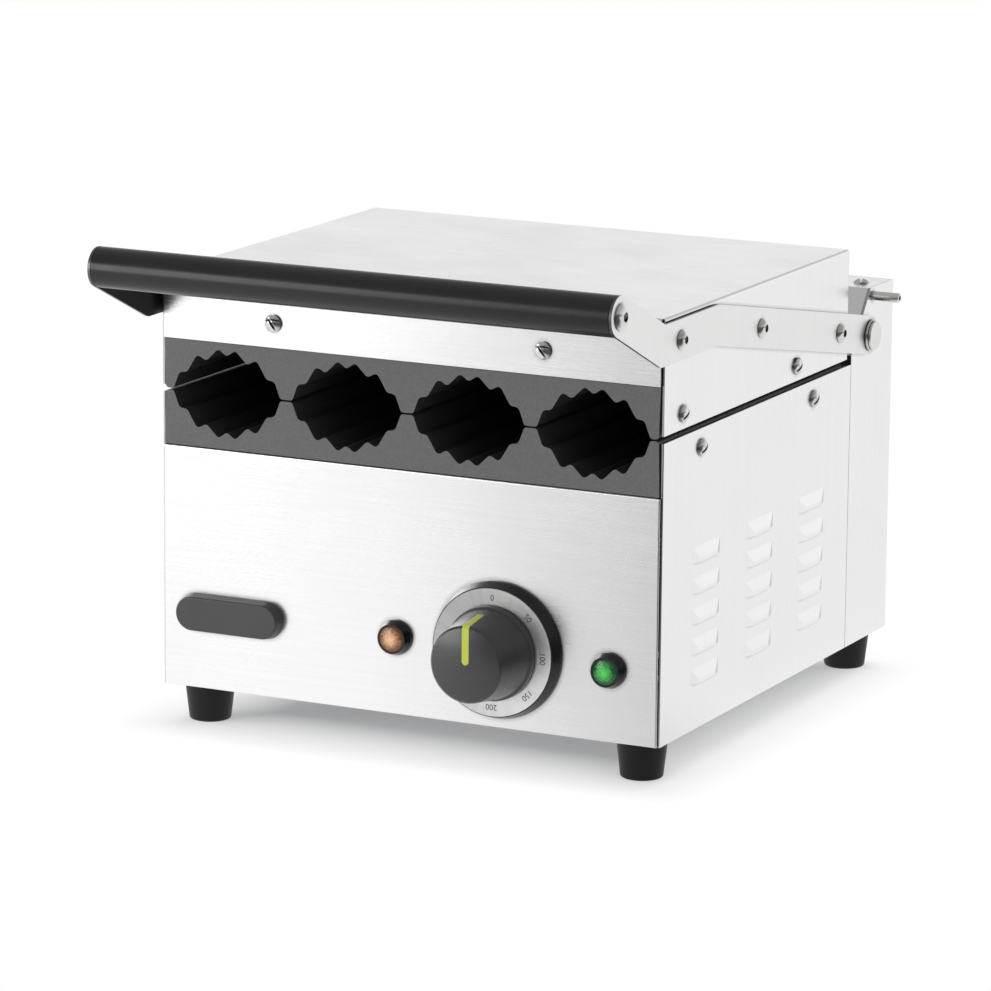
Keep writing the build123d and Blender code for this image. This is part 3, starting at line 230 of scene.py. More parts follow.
def brushedSteel(name, look):
    steel = Finish(name)
    x, y, z = steel.split(steel.place)
    faceX, faceY = steel.split(steel.facing)[:2]
    side = abs(faceX) > flatFace
    front = abs(faceY) > flatFace
    along = x * (1 - side) + z * side
    across = z * front + y * (1 - front)
    fine = steel.joined(along / look["grainLength"], across / look["grainWidth"], side * look["grainShift"])
    broad = steel.joined(along / look["bandLength"], across / look["bandWidth"], side * look["bandShift"])
    grain = steel.noise(fine)
    band = steel.broadNoise(broad)
    smudge = steel.noise(steel.place, look["smudges"])
    streaks = grain * look["grainShare"] + band * (1 - look["grainShare"])
    tone = steel.varied(streaks, 1, look["tone"], look["tone"])
    # Painted shade: the colour is darkened on inward faces, on the rear ends of louvres, on edge faces (there
    # partly also duller cut edges) and along the front panel's folded side edges
    paintedShadeOn = {
        # painted shade on faces turned inward
        "innerFaceShade": faceX * x < abs(x) * -flatFace,
        # painted shade on the rear ends of the louvres
        "louvreEndShade": side * (faceY > look["louvreEndTurn"]),
        # faces not turned sideways: partly duller cut edges, partly painted shade
        "edgeFaceDullAndShade": 1 - (abs(faceX) > look["edgeTurn"]),
        # painted shade along the front panel's folded side edges
        "hemShade": front * steel.between(abs(x), look["hemFrom"], look["hemFrom"] + look["hemWidth"]),
    }
    for part, where in paintedShadeOn.items():
        tone = tone * (1 - where * (1 - look[part]))
    worn = steel.between(smudge, *look["smudgeMiddle"], *look["smudgeRoughness"])
    return steel.surface({
        # random streak tone, darkened by the painted shade listed above and by painted shade in tight corners
        "Base Color": steel.tinted(tone * steel.paintedCreaseShade(paintedMetalShade), look["colour"]),
        "Metallic": 1.0,
        "Roughness": steel.varied(grain, look["roughness"], *look["grainRoughness"]) + worn,
        "Normal": steel.bump(grain, look["grainDepth"])})


# Turned or drawn bright metal, with faint rings or streaks along one axis
metalStain = {"perMetre": 90, "roughness": (0.04, 0.06)}


def turnedMetal(name, look):
    metal = Finish(name)
    drawn = metal.noise(metal.scaled(metal.place, look["stretch"]))
    stain = metal.noise(metal.place, metalStain["perMetre"])
    tone = metal.varied((drawn + stain) / 2, 1, look["tone"], look["tone"])
    return metal.surface({
        # random tone, darkened by painted shade in tight corners and grooves
        "Base Color": metal.tinted(tone * metal.paintedCreaseShade(paintedMetalShade), look["colour"]),
        "Metallic": 1.0,
        "Roughness": metal.varied(drawn, look["roughness"], *metalStain["roughness"]),
        "Normal": metal.bump(drawn, look["depth"])})


barStock = {
    "colour": (0.80, 0.80, 0.79), "roughness": 0.24,
    "stretch": (2200, 500, 500), "depth": 0.006 * mm, "tone": 0.06}
screwSteel = {
    "colour": (0.72, 0.72, 0.71), "roughness": 0.10,
    "stretch": (600, 600, 600), "depth": 0.022 * mm, "tone": 0.25}
zincSteel = {
    "colour": (0.66, 0.67, 0.69), "roughness": 0.34,
    "stretch": (600, 600, 600), "depth": 0.006 * mm, "tone": 0.10}
springSteel = {
    "colour": (0.30, 0.30, 0.31), "roughness": 0.34,
    "stretch": (700, 700, 700), "depth": 0.006 * mm, "tone": 0.12}
elementSteel = {
    "colour": (0.26, 0.25, 0.24), "roughness": 0.46,
    "stretch": (500, 500, 500), "depth": 0.010 * mm, "tone": 0.20}
bushBronze = {
    "colour": (0.60, 0.42, 0.22), "roughness": 0.38,
    "stretch": (900, 900, 900), "depth": 0.008 * mm, "tone": 0.12}
copperTube = {
    "colour": (0.72, 0.40, 0.26), "roughness": 0.30,
    "stretch": (500, 500, 500), "depth": 0.006 * mm, "tone": 0.12}

# Cast plates: a sandy grey front, and painted shade inside the troughs and on the meeting faces, where every
# face not turned to the front takes a much darker colour
castPlate = {
    "front": (0.135, 0.135, 0.138),
    "frontTurn": (0.45, 0.75),
    # painted shade for faces not turned to the front
    "coat": (0.045, 0.045, 0.046),
    "grainSize": 0.55 * mm,
    "grainSharpness": 0.65,
    "grainDepth": 0.10 * mm,
    "grainStrength": 0.9,
    "grainShare": 0.65,
    "speckSize": 1.5 * mm,
    "toneMiddle": (0.32, 0.68),
    "tone": (0.78, 1.22),
    "roughness": 0.50,
    "grainRoughness": (0.06, 0.10),
}


def castCoating(name, look):
    cast = Finish(name)
    front = cast.between(0 - cast.split(cast.facing)[1], *look["frontTurn"])
    grain = cast.noise(cast.place, 1 / look["grainSize"], rough=look["grainSharpness"])
    speck = cast.broadNoise(cast.place, 1 / look["speckSize"])
    sand = grain * look["grainShare"] + speck * (1 - look["grainShare"])
    tone = cast.between(sand, *look["toneMiddle"], *look["tone"])
    # Painted shade: faces not turned to the front blend to the much darker coat colour
    base = cast.mixed(front, (*look["coat"], 1), (*look["front"], 1))
    return cast.surface({
        "Base Color": cast.signal("ShaderNodeVectorMath", {"operation": "SCALE"}, {0: base, 3: tone}),
        "Roughness": cast.varied(grain, look["roughness"], *look["grainRoughness"]),
        "Normal": cast.bump(grain, look["grainDepth"], look["grainStrength"])})


# Moulded and rubber blacks, and the other plastics
mouldCloud = {"perMetre": 45, "share": 0.6, "roughness": (0.03, 0.04)}


def moulding(name, look, domeCentre=None):
    plastic = Finish(name)
    skin = plastic.noise(plastic.place, 1 / look["skinSize"])
    cloud = plastic.broadNoise(plastic.place, mouldCloud["perMetre"])
    blotches = skin * (1 - mouldCloud["share"]) + cloud * mouldCloud["share"]
    height = skin
    if domeCentre is not None:
        x, y, z = plastic.split(plastic.place)
        reach = ((x - domeCentre.x) ** 2 + (z - domeCentre.z) ** 2) ** 0.5 / look["domeRadius"]
        face = abs(plastic.split(plastic.facing)[1]) > look["domeTurn"]
        height = skin - reach ** 2 * face * (look["domeRise"] / look["skinDepth"])
    return plastic.surface({
        "Base Color": plastic.tinted(plastic.varied(blotches, 1, look["tone"], look["tone"]), look["colour"]),
        "Roughness": plastic.varied(cloud, look["roughness"], *mouldCloud["roughness"]),
        "Specular IOR Level": look.get("shine", 0.5),
        "Normal": plastic.bump(height, look["skinDepth"])})


handleResin = {
    "colour": (0.008, 0.008, 0.0085), "shine": 0.5, "roughness": 0.25,
    "skinSize": 0.5 * mm, "skinDepth": 0.012 * mm, "tone": 0.12}
knobResin = {
    "colour": (0.033, 0.033, 0.034), "shine": 0.85, "roughness": 0.28,
    "skinSize": 0.45 * mm, "skinDepth": 0.016 * mm, "tone": 0.10,
    "domeRadius": 21 * mm, "domeRise": 2.6 * mm, "domeTurn": 0.9}
dialResin = {
    "colour": (0.009, 0.009, 0.0095), "roughness": 0.22,
    "skinSize": 0.6 * mm, "skinDepth": 0.010 * mm, "tone": 0.10}
bezelResin = {
    "colour": (0.007, 0.0065, 0.007), "roughness": 0.14,
    "skinSize": 0.8 * mm, "skinDepth": 0.004 * mm, "tone": 0.10}
plateResin = {
    "colour": (0.052, 0.052, 0.053), "shine": 0.6, "roughness": 0.42,
    "skinSize": 0.5 * mm, "skinDepth": 0.014 * mm, "tone": 0.10}
pointerResin = {
    "colour": (0.62, 0.68, 0.09), "roughness": 0.42,
    "skinSize": 0.5 * mm, "skinDepth": 0.006 * mm, "tone": 0.06}
footRubber = {
    "colour": (0.008, 0.008, 0.0085), "shine": 0.25, "roughness": 0.45,
    "skinSize": 0.7 * mm, "skinDepth": 0.030 * mm, "tone": 0.15}
glandNylon = {
    "colour": (0.026, 0.026, 0.027), "roughness": 0.45,
    "skinSize": 0.5 * mm, "skinDepth": 0.015 * mm, "tone": 0.10}
paleCeramic = {
    "colour": (0.74, 0.71, 0.63), "roughness": 0.55,
    "skinSize": 0.8 * mm, "skinDepth": 0.020 * mm, "tone": 0.08}
terminalNylon = {
    "colour": (0.80, 0.79, 0.73), "roughness": 0.46,
    "skinSize": 0.6 * mm, "skinDepth": 0.015 * mm, "tone": 0.05}
markInk = {
    "colour": (0.025, 0.025, 0.027), "roughness": 0.55,
    "skinSize": 0.4 * mm, "skinDepth": 0.004 * mm, "tone": 0.10}
mineralMat = {
    "colour": (0.80, 0.76, 0.66), "roughness": 0.90,
    "skinSize": 1.2 * mm, "skinDepth": 0.60 * mm, "tone": 0.12}

# Silver scale of the dial, brushed in circles round the knob's axis, with a painted highlight: brighter on
# one side and in a fan on two opposite sides
dialFoil = {
    "colour": (1.0, 1.0, 1.0),
    "metallic": 0.95,
    "roughness": 0.36,
    "ringRoughness": (0.05, 0.07),
    "level": 0.70,
    # painted highlight: brighter on the side at the angle turn, and in a fan on two opposite sides
    "paintedSideHighlight": 0.26,
    "paintedFanHighlight": 0.06,
    "turn": -0.35,
    "ringWidth": 0.45 * mm,
    "ringDepth": 0.03 * mm,
    "ringDrift": 1.5,
    "rays": 9,
    "rayBends": 20,
    "rayTone": 0.04,
}


def circleBrushed(name, centre, look):
    foil = Finish(name)
    x, y, z = foil.split(foil.place)
    right = x - centre.x
    up = z - centre.z
    radius = (right ** 2 + up ** 2) ** 0.5
    angle = foil.maths("ARCTAN2", up, right)
    rings = foil.noise(foil.joined(radius / look["ringWidth"], angle * look["ringDrift"], 0))
    rays = foil.broadNoise(foil.joined(angle * look["rays"], radius * look["rayBends"], 3))
    # Painted highlight: the colour brightens on one side of the scale and in a two-sided fan
    paintedSideHighlight = foil.maths("COSINE", angle - look["turn"]) * look["paintedSideHighlight"]
    paintedFanHighlight = foil.maths("COSINE", angle * 2) * look["paintedFanHighlight"]
    tone = paintedSideHighlight + paintedFanHighlight + foil.varied(rays, look["level"], look["rayTone"], look["rayTone"])
    return foil.surface({
        "Base Color": foil.tinted(tone, look["colour"]),
        "Metallic": look["metallic"],
        "Roughness": foil.varied(rings, look["roughness"], *look["ringRoughness"]),
        "Normal": foil.bump(rings, look["ringDepth"])})


# Lamp lenses: tinted plastic with a painted glow, a faint emission and a colour brighter towards the middle
# that stand in for light passing through the lens
lensPlastic = {
    "radius": 7 * mm,
    "spotSize": 1.1 * mm,
    "spotMiddle": (0.32, 0.68),
    "spotDepth": 0.05 * mm,
    "spotStrength": 0.4,
    "roughness": 0.18,
    "spotRoughness": 0.06,
    "coat": 0.6,
    "coatRoughness": 0.06,
}
amberLens = {**lensPlastic, "dark": (0.16, 0.055, 0.016), "bright": (0.92, 0.56, 0.31), "glow": 0.26}
greenLens = {**lensPlastic, "dark": (0.006, 0.075, 0.018), "bright": (0.08, 0.62, 0.11), "glow": 0.28}


def tintedLens(name, centre, look):
    lens = Finish(name)
    x, y, z = lens.split(lens.place)
    radius = ((x - centre.x) ** 2 + (z - centre.z) ** 2) ** 0.5
    # painted glow: the colour brightens towards the lens's middle, mixed with random spots
    middle = lens.between(radius, 0.0, look["radius"], 1.0, 0.0)
    spots = lens.noise(lens.place, 1 / look["spotSize"])
    lit = lens.between((spots + middle) / 2, *look["spotMiddle"])
    colour = lens.mixed(lit, (*look["dark"], 1), (*look["bright"], 1))
    return lens.surface({
        "Base Color": colour,
        "Emission Color": colour,
        # painted glow: a faint emission of the lens colour
        "Emission Strength": look["glow"],
        "Coat Weight": look["coat"],
        "Coat Roughness": look["coatRoughness"],
        "Roughness": lens.varied(spots, look["roughness"], look["spotRoughness"], look["spotRoughness"]),
        "Normal": lens.bump(spots, look["spotDepth"], look["spotStrength"])})


def middleOf(node):
    low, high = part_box(node)
    return (low + high) / 2


dialCentre = middleOf("dial_scale")
slotFinishes = {
    "brushed_panels": brushedSteel("brushedPanels", brushedSheet),
    "inner_sheet": brushedSteel("innerSheet", innerSheet),
    "cast_plates": castCoating("castPlates", castPlate),
    "lid_arms": brushedSteel("lidArms", armBar),
    "bright_fasteners": turnedMetal("brightFasteners", screwSteel),
    "zinc_fasteners": turnedMetal("zincFasteners", zincSteel),
    "turned_steel": turnedMetal("turnedSteel", barStock),
    "bush_bronze": turnedMetal("bushBronze", bushBronze),
    "spring_wire": turnedMetal("springWire", springSteel),
    "element_sheath": turnedMetal("elementSheath", elementSteel),
    "insulation_mat": moulding("insulationMat", mineralMat),
    "handle_black": moulding("handleBlack", handleResin),
    "thermostat_body": moulding("thermostatBody", paleCeramic),
    "capillary_copper": turnedMetal("capillaryCopper", copperTube),
    "dial_black": moulding("dialBlack", dialResin),
    "dial_silver": circleBrushed("dialSilver", dialCentre, dialFoil),
    "knob_black": moulding("knobBlack", knobResin, middleOf("knob")),
    "pointer_yellow": moulding("pointerYellow", pointerResin),
    "bezel_black": moulding("bezelBlack", bezelResin),
    "lens_amber": tintedLens("lensAmber", middleOf("heating_lamp_lens"), amberLens),
    "lens_green": tintedLens("lensGreen", middleOf("power_lamp_lens"), greenLens),
    "name_plate_black": moulding("namePlateBlack", plateResin),
    "foot_rubber": moulding("footRubber", footRubber),
    "terminal_white": moulding("terminalWhite", terminalNylon),
    "gland_black": moulding("glandBlack", glandNylon),
}
for entry in frame["record"]["subparts"]:
    held = nodes[entry["node"]]
    for place in held.material_slots:
        place.material = slotFinishes[entry["material_slot"]]
print("finishes:", len(slotFinishes))


# A mesh turned about its own z axis, from (radius, height) points, with its ends closed
def turnedMesh(name, outline, segments):
    mesh = bpy.data.meshes.new(name)
    shape = bmesh.new()
    angles = [2 * math.pi * index / segments for index in range(segments)]
    rings = []
    for radius, height in outline:
        if radius == 0:
            rings.append([shape.verts.new((0, 0, height))])
        else:
            places = [(radius * math.cos(angle), radius * math.sin(angle), height) for angle in angles]
            rings.append([shape.verts.new(place) for place in places])
    for lower, upper in zip(rings, rings[1:]):
        for index in range(segments):
            after = (index + 1) % segments
            around = ((lower, index), (lower, after), (upper, after), (upper, index))
            corners = [ring[step % len(ring)] for ring, step in around]
            shape.faces.new(list(dict.fromkeys(corners)))
    bmesh.ops.recalc_face_normals(shape, faces=shape.faces)
    shape.to_mesh(mesh)
    shape.free()
    return mesh


# Local z becomes the way out of the front panel, local y stays up
def outOfPanel(x, y, z):
    turn = Matrix(((1, 0, 0), (0, 0, -1), (0, 1, 0))).to_4x4()
    return Matrix.Translation((x, y, z)) @ turn


def addPiece(name, mesh, material, body):
    piece = bpy.data.objects.new(name, mesh)
    bpy.context.scene.collection.objects.link(piece)
    mesh.materials.clear()
    mesh.materials.append(material)
    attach(piece, body)
    return piece


# A geometry tree that takes a mesh and named values, and ends in one material
def openGroup(name, sockets):
    group = bpy.data.node_groups.new(name, "GeometryNodeTree")
    for socketName, kind in {"Geometry": "Geometry", **sockets}.items():
        group.interface.new_socket(socketName, in_out="INPUT", socket_type="NodeSocket" + kind)
    group.interface.new_socket("Geometry", in_out="OUTPUT", socket_type="NodeSocketGeometry")
    tree = Tree(group)
    given = tree.node("NodeGroupInput")
    return tree, {socketName: tree.out(given, socketName) for socketName in ("Geometry", *sockets)}


def closeGroup(tree, geometry, material):
    inputs = {"Geometry": geometry, "Material": material}
    tree.node("NodeGroupOutput", {}, {0: tree.signal("GeometryNodeSetMaterial", {}, inputs)})
    return tree.nodeTree


# Lamp lenses with rows of small four-sided facets on a dome
lensShape = {
    "segments": 64,
    "domeSteps": 8,
    "rimHeight": 4.9 * mm,
    "rise": 1.5 * mm,
    "facetPitch": 1.15 * mm,
    "facetHeight": 0.42 * mm,
    "facetMargin": 1.0 * mm,
    "facetTurn": math.radians(45),
}


def facetTree(material):
    names = ("Radius", "Rise", "Base Height", "Facet Pitch", "Facet Height", "Margin")
    facets, given = openGroup("lensFacets", {name: "Float" for name in names})
    radius = given["Radius"]
    pitch = given["Facet Pitch"]
    across = radius * 2
    count = across / pitch + 1
    turn = (0, 0, lensShape["facetTurn"])
    grid = facets.signal("GeometryNodeMeshGrid", {}, {0: across, 1: across, 2: count, 3: count})
    turned = facets.signal("GeometryNodeTransform", {}, {"Geometry": grid, "Rotation": turn})
    x, y, z = facets.split(facets.signal("GeometryNodeInputPosition"))
    reach = (x ** 2 + y ** 2) ** 0.5
    outside = reach > radius - given["Margin"]
    kept = facets.signal(
        "GeometryNodeDeleteGeometry", {"domain": "POINT"}, {"Geometry": turned, "Selection": outside})
    height = given["Base Height"] + given["Rise"] * (1 - (reach / radius) ** 2)
    raised = facets.signal(
        "GeometryNodeSetPosition", {}, {"Geometry": kept, "Offset": facets.joined(0.0, 0.0, height)})
    facet = facets.signal("GeometryNodeMeshCone", {"fill_type": "NONE"}, {
        "Vertices": 4, "Radius Top": 0.0, "Radius Bottom": pitch * 0.5, "Depth": given["Facet Height"]})
    placed = facets.signal("GeometryNodeInstanceOnPoints", {}, {
        "Points": raised, "Instance": facet, "Rotation": turn})
    real = facets.signal("GeometryNodeRealizeInstances", {}, {"Geometry": placed})
    whole = facets.node("GeometryNodeJoinGeometry")
    for part in (real, given["Geometry"]):
        facets.plug(whole.inputs[0], part)
    return closeGroup(facets, facets.out(whole), material)


# Runs a node tree on a mesh and gives back a plain mesh
def treeResult(mesh, group, values):
    holder = bpy.data.objects.new("holder", mesh)
    bpy.context.scene.collection.objects.link(holder)
    modifier = holder.modifiers.new("tree", "NODES")
    modifier.node_group = group
    for socket in group.interface.items_tree:
        if socket.in_out == "INPUT" and socket.name in values:
            modifier[socket.identifier] = values[socket.name]
    solid = holder.evaluated_get(bpy.context.evaluated_depsgraph_get())
    result = bpy.data.meshes.new_from_object(solid)
    bpy.data.objects.remove(holder)
    return result


def makeLens(node, slot):
    low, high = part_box(node)
    radius = (high.x - low.x) / 2
    rim = lensShape["rimHeight"]
    rise = lensShape["rise"]
    outline = [(0, 0.0), (radius, 0.0), (radius, rim)]
    for index in range(1, lensShape["domeSteps"] + 1):
        reach = radius * (1 - index / lensShape["domeSteps"])
        outline.append((reach, rim + rise * (1 - (reach / radius) ** 2)))
    dome = turnedMesh(node + "Dome", outline, lensShape["segments"])
    for face in dome.polygons:
        face.use_smooth = face.center.z > rim
    values = {
        "Radius": radius, "Rise": rise, "Base Height": rim, "Facet Pitch": lensShape["facetPitch"],
        "Facet Height": lensShape["facetHeight"], "Margin": lensShape["facetMargin"]}
    mesh = treeResult(dome, facetTree(slotFinishes[slot]), values)
    centre = (low + high) / 2
    mesh.transform(outOfPanel(centre.x, high.y, centre.z))
    piece = addPiece(node.replace("_lens", "_faceted_lens"), mesh, slotFinishes[slot], "case")
    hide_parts(node)


makeLens("heating_lamp_lens", "lens_amber")
makeLens("power_lamp_lens", "lens_green")
print("lenses: two faceted lenses")

# Slotted screws: a finer head on each CAD screw, its slot turned a little differently on every one
slottedScrews = {
    "lid_screws": {
        "piece": "lid_slotted_screws", "body": "lid",
        "rise": 3.2 * mm, "rim": 1.2 * mm, "slot": 1.3 * mm},
    "base_screws": {
        "piece": "base_slotted_screws", "body": "case",
        "rise": 3.2 * mm, "rim": 1.2 * mm, "slot": 1.3 * mm},
    "tower_cover_screws": {
        "piece": "tower_slotted_screws", "body": "case",
        "rise": 2.6 * mm, "rim": 1.0 * mm, "slot": 1.2 * mm},
}
screwLook = {
    "slotDepth": 1.5 * mm,
    "slotSlant": 0.02 * mm,
    "bevel": 0.12 * mm,
    "bevelDrop": 0.7,
    "columns": (0.985, 0.93, 0.82, 0.68, 0.52, 0.36, 0.24),
    "rows": 14,
    "sharp": math.radians(35),
    "shankShare": 0.52,
    "shankOverlap": 0.3 * mm,
    "shankSegments": 24,
    "turn": math.radians(24),
    "turnSpread": math.radians(18),
    "seed": 11,
    "merge": 1e-6,  # corners of the CAD screws closer than this are one
}


# The box of each separate piece of a CAD node
def islandBoxes(node):
    shape = bmesh.new()
    shape.from_mesh(nodes[node].data)
    bmesh.ops.remove_doubles(shape, verts=shape.verts, dist=screwLook["merge"])
    left = set(shape.verts)
    boxes = []
    while left:
        reached = [left.pop()]
        for corner in reached:
            for edge in corner.link_edges:
                other = edge.other_vert(corner)
                if other in left:
                    left.remove(other)
                    reached.append(other)
        axes = list(zip(*[corner.co for corner in reached]))
        boxes.append([Vector([pick(axis) for axis in axes]) for pick in (min, max)])
    shape.free()
    return sorted(boxes, key=lambda box: tuple(box[0]))


def slottedHead(name, radius, length, look):
    half = look["slot"] / 2
    bevel = screwLook["bevel"]
    ball = (radius ** 2 + (look["rise"] - look["rim"]) ** 2) / (2 * (look["rise"] - look["rim"]))
    floor = look["rise"] - screwLook["slotDepth"]
    outer = [(share * radius, 0.0, False) for share in screwLook["columns"]]
    lip = [(half + bevel, 0.0, False), (half, bevel * screwLook["bevelDrop"], False)]
    right = outer + lip + [(half - screwLook["slotSlant"], 0.0, True)]
    columns = [(-x, drop, inSlot) for x, drop, inSlot in right] + right[::-1]
    shape = bmesh.new()
    grid = []
    for x, drop, inSlot in columns:
        reach = math.sqrt(radius ** 2 - x ** 2)
        column = []
        for index in range(screwLook["rows"] + 1):
            y = -reach * math.cos(math.pi * index / screwLook["rows"])
            top = look["rise"] - ball + math.sqrt(ball ** 2 - x ** 2 - y ** 2) - drop
            column.append(shape.verts.new((x, y, min(top, floor) if inSlot else top)))
        grid.append(column)
    for first, second in zip(grid, grid[1:]):
        for index in range(screwLook["rows"]):
            shape.faces.new((first[index], second[index], second[index + 1], first[index + 1]))
    edge = [column[0] for column in grid] + grid[-1][1:]
    edge += [column[-1] for column in grid[-2::-1]] + grid[0][-2:0:-1]
    lower = [shape.verts.new((corner.co.x, corner.co.y, 0)) for corner in edge]
    for index, corner in enumerate(edge):
        after = (index + 1) % len(edge)
        shape.faces.new((corner, lower[index], lower[after], edge[after]))
    shape.faces.new(lower)
    shank = radius * screwLook["shankShare"]
    top = screwLook["shankOverlap"]
    outline = [(0, -length), (shank, -length), (shank, top), (0, top)]
    shape.from_mesh(turnedMesh("shank", outline, screwLook["shankSegments"]))
    bmesh.ops.recalc_face_normals(shape, faces=shape.faces)
    mesh = bpy.data.meshes.new(name)
    shape.to_mesh(mesh)
    shape.free()
    for face in mesh.polygons:
        face.use_smooth = True
    mesh.set_sharp_from_angle(angle=screwLook["sharp"])
    return mesh


def screwTree(material):
    sockets = {"Screw": "Object", "Turn": "Float", "Turn Spread": "Float", "Seed": "Int"}
    screws, given = openGroup("screwRow", sockets)
    template = screws.signal("GeometryNodeObjectInfo", {}, {"Object": given["Screw"]}, "Geometry")
    way = screws.signal("GeometryNodeInputNamedAttribute", {"data_type": "FLOAT_VECTOR"}, {"Name": "way"})
    upright = screws.signal("FunctionNodeAlignRotationToVector", {"axis": "Z"}, {"Vector": way})
    placed = screws.signal("GeometryNodeInstanceOnPoints", {}, {
        "Points": given["Geometry"], "Instance": template, "Rotation": upright})
    least = given["Turn"] - given["Turn Spread"]
    most = given["Turn"] + given["Turn Spread"]
    chance = screws.signal(
        "FunctionNodeRandomValue", {"data_type": "FLOAT"}, {2: least, 3: most, 8: given["Seed"]}, 1)
    turned = screws.signal("GeometryNodeRotateInstances", {}, {
        "Instances": placed, "Rotation": screws.joined(0.0, 0.0, chance), "Local Space": True})
    real = screws.signal("GeometryNodeRealizeInstances", {}, {"Geometry": turned})
    return closeGroup(screws, real, material)


def makeSlottedScrews(node, look, slot):
    middle = (cadLow + cadHigh) / 2
    places = []
    ways = []
    boxes = islandBoxes(node)
    for low, high in boxes:
        sizes = high - low
        axis = max(range(3), key=lambda index: sizes[index])
        centre = (low + high) / 2
        way = Vector((0, 0, 0))
        way[axis] = 1 if centre[axis] > middle[axis] else -1
        places.append(centre + way * (sizes[axis] / 2 - look["rise"]))
        ways.append(way)
    last = boxes[-1][1] - boxes[-1][0]
    head = slottedHead(node + "Head", min(last) / 2, max(last) - look["rise"], look)
    template = bpy.data.objects.new("template", head)
    bpy.context.scene.collection.objects.link(template)
    points = bpy.data.meshes.new(node + "Points")
    points.from_pydata(places, [], [])
    points.attributes.new("way", "FLOAT_VECTOR", "POINT")
    for index, way in enumerate(ways):
        points.attributes["way"].data[index].vector = way
    values = {
        "Screw": template, "Turn": screwLook["turn"],
        "Turn Spread": screwLook["turnSpread"], "Seed": screwLook["seed"]}
    mesh = treeResult(points, screwTree(slotFinishes[slot]), values)
    bpy.data.objects.remove(template)
    piece = addPiece(look["piece"], mesh, slotFinishes[slot], look["body"])
    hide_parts(node)


for screwNode, screwShape in slottedScrews.items():
    makeSlottedScrews(screwNode, screwShape, "bright_fasteners")
print("screws:", len(slottedScrews), "rows of slotted screws")

# Temperature numbers on the silver scale, their tops outwards
dialMarks = {
    "numbers": ("0", "50", "100", "150", "200"),
    "step": math.radians(45),
    "radius": 29.8 * mm,
    "height": 3.2 * mm,
    "capShare": 0.7,
    "thickness": 0.04 * mm,
}


def textMesh(words, look):
    letters = bpy.data.curves.new("letters", "FONT")
    letters.body = words
    letters.size = look["height"] / look["capShare"]
    letters.align_x = "CENTER"
    letters.align_y = "CENTER"
    letters.extrude = look["thickness"] / 2
    holder = bpy.data.objects.new("letters", letters)
    bpy.context.scene.collection.objects.link(holder)
    mesh = bpy.data.meshes.new_from_object(holder.evaluated_get(bpy.context.evaluated_depsgraph_get()))
    bpy.data.objects.remove(holder)
    return mesh


def makeDialMarks():
    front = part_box("dial_scale")[0].y
    shape = bmesh.new()
    for index, words in enumerate(dialMarks["numbers"]):
        mesh = textMesh(words, dialMarks)
        turn = Matrix.Rotation(-dialMarks["step"] * index, 4, "Z")
        mesh.transform(turn @ Matrix.Translation((0, dialMarks["radius"], 0)))
        mesh.transform(outOfPanel(dialCentre.x, front, dialCentre.z))
        shape.from_mesh(mesh)
    marks = bpy.data.meshes.new("dialMarks")
    shape.to_mesh(marks)
    shape.free()
    addPiece("dial_marks", marks, moulding("markInk", markInk), "case")


makeDialMarks()
print("dial:", len(dialMarks["numbers"]), "numbers")

# Floor: white paper that keeps the object's soft shadow and turns plain white a little way off
floorPaper = {
    "half": 9.0,
    "colour": (0.92, 0.92, 0.92),
    "fibres": 300,  # in a metre
    "fibreDepth": 0.02 * mm,
    "fibreStrength": 0.3,
    "bodyMiddle": 0.028,
    "bodyHalf": (0.15, 0.157),
    "fade": (-0.048, 0.028),  # from the body's outline, inwards and outwards
    "nearGlow": 0.02,
    "nearGloss": 0.90,
    "rightGloss": 0.90,
    "rightFrom": (0.14, 0.20),
    "frontTo": (-0.15, 0.05),
}

# A dark corner of the studio, right of the front, seen in edges and glossy pieces
darkCorner = {
    "level": 0.10,
    "way": (0.72, -0.69),
    "span": (0.12, 0.75),
    "rise": (0.10, 0.30),
    "highShare": 0.35,
    "floorWay": (0.89, -0.45),
    "floorSpan": (0.03, 0.46),
}


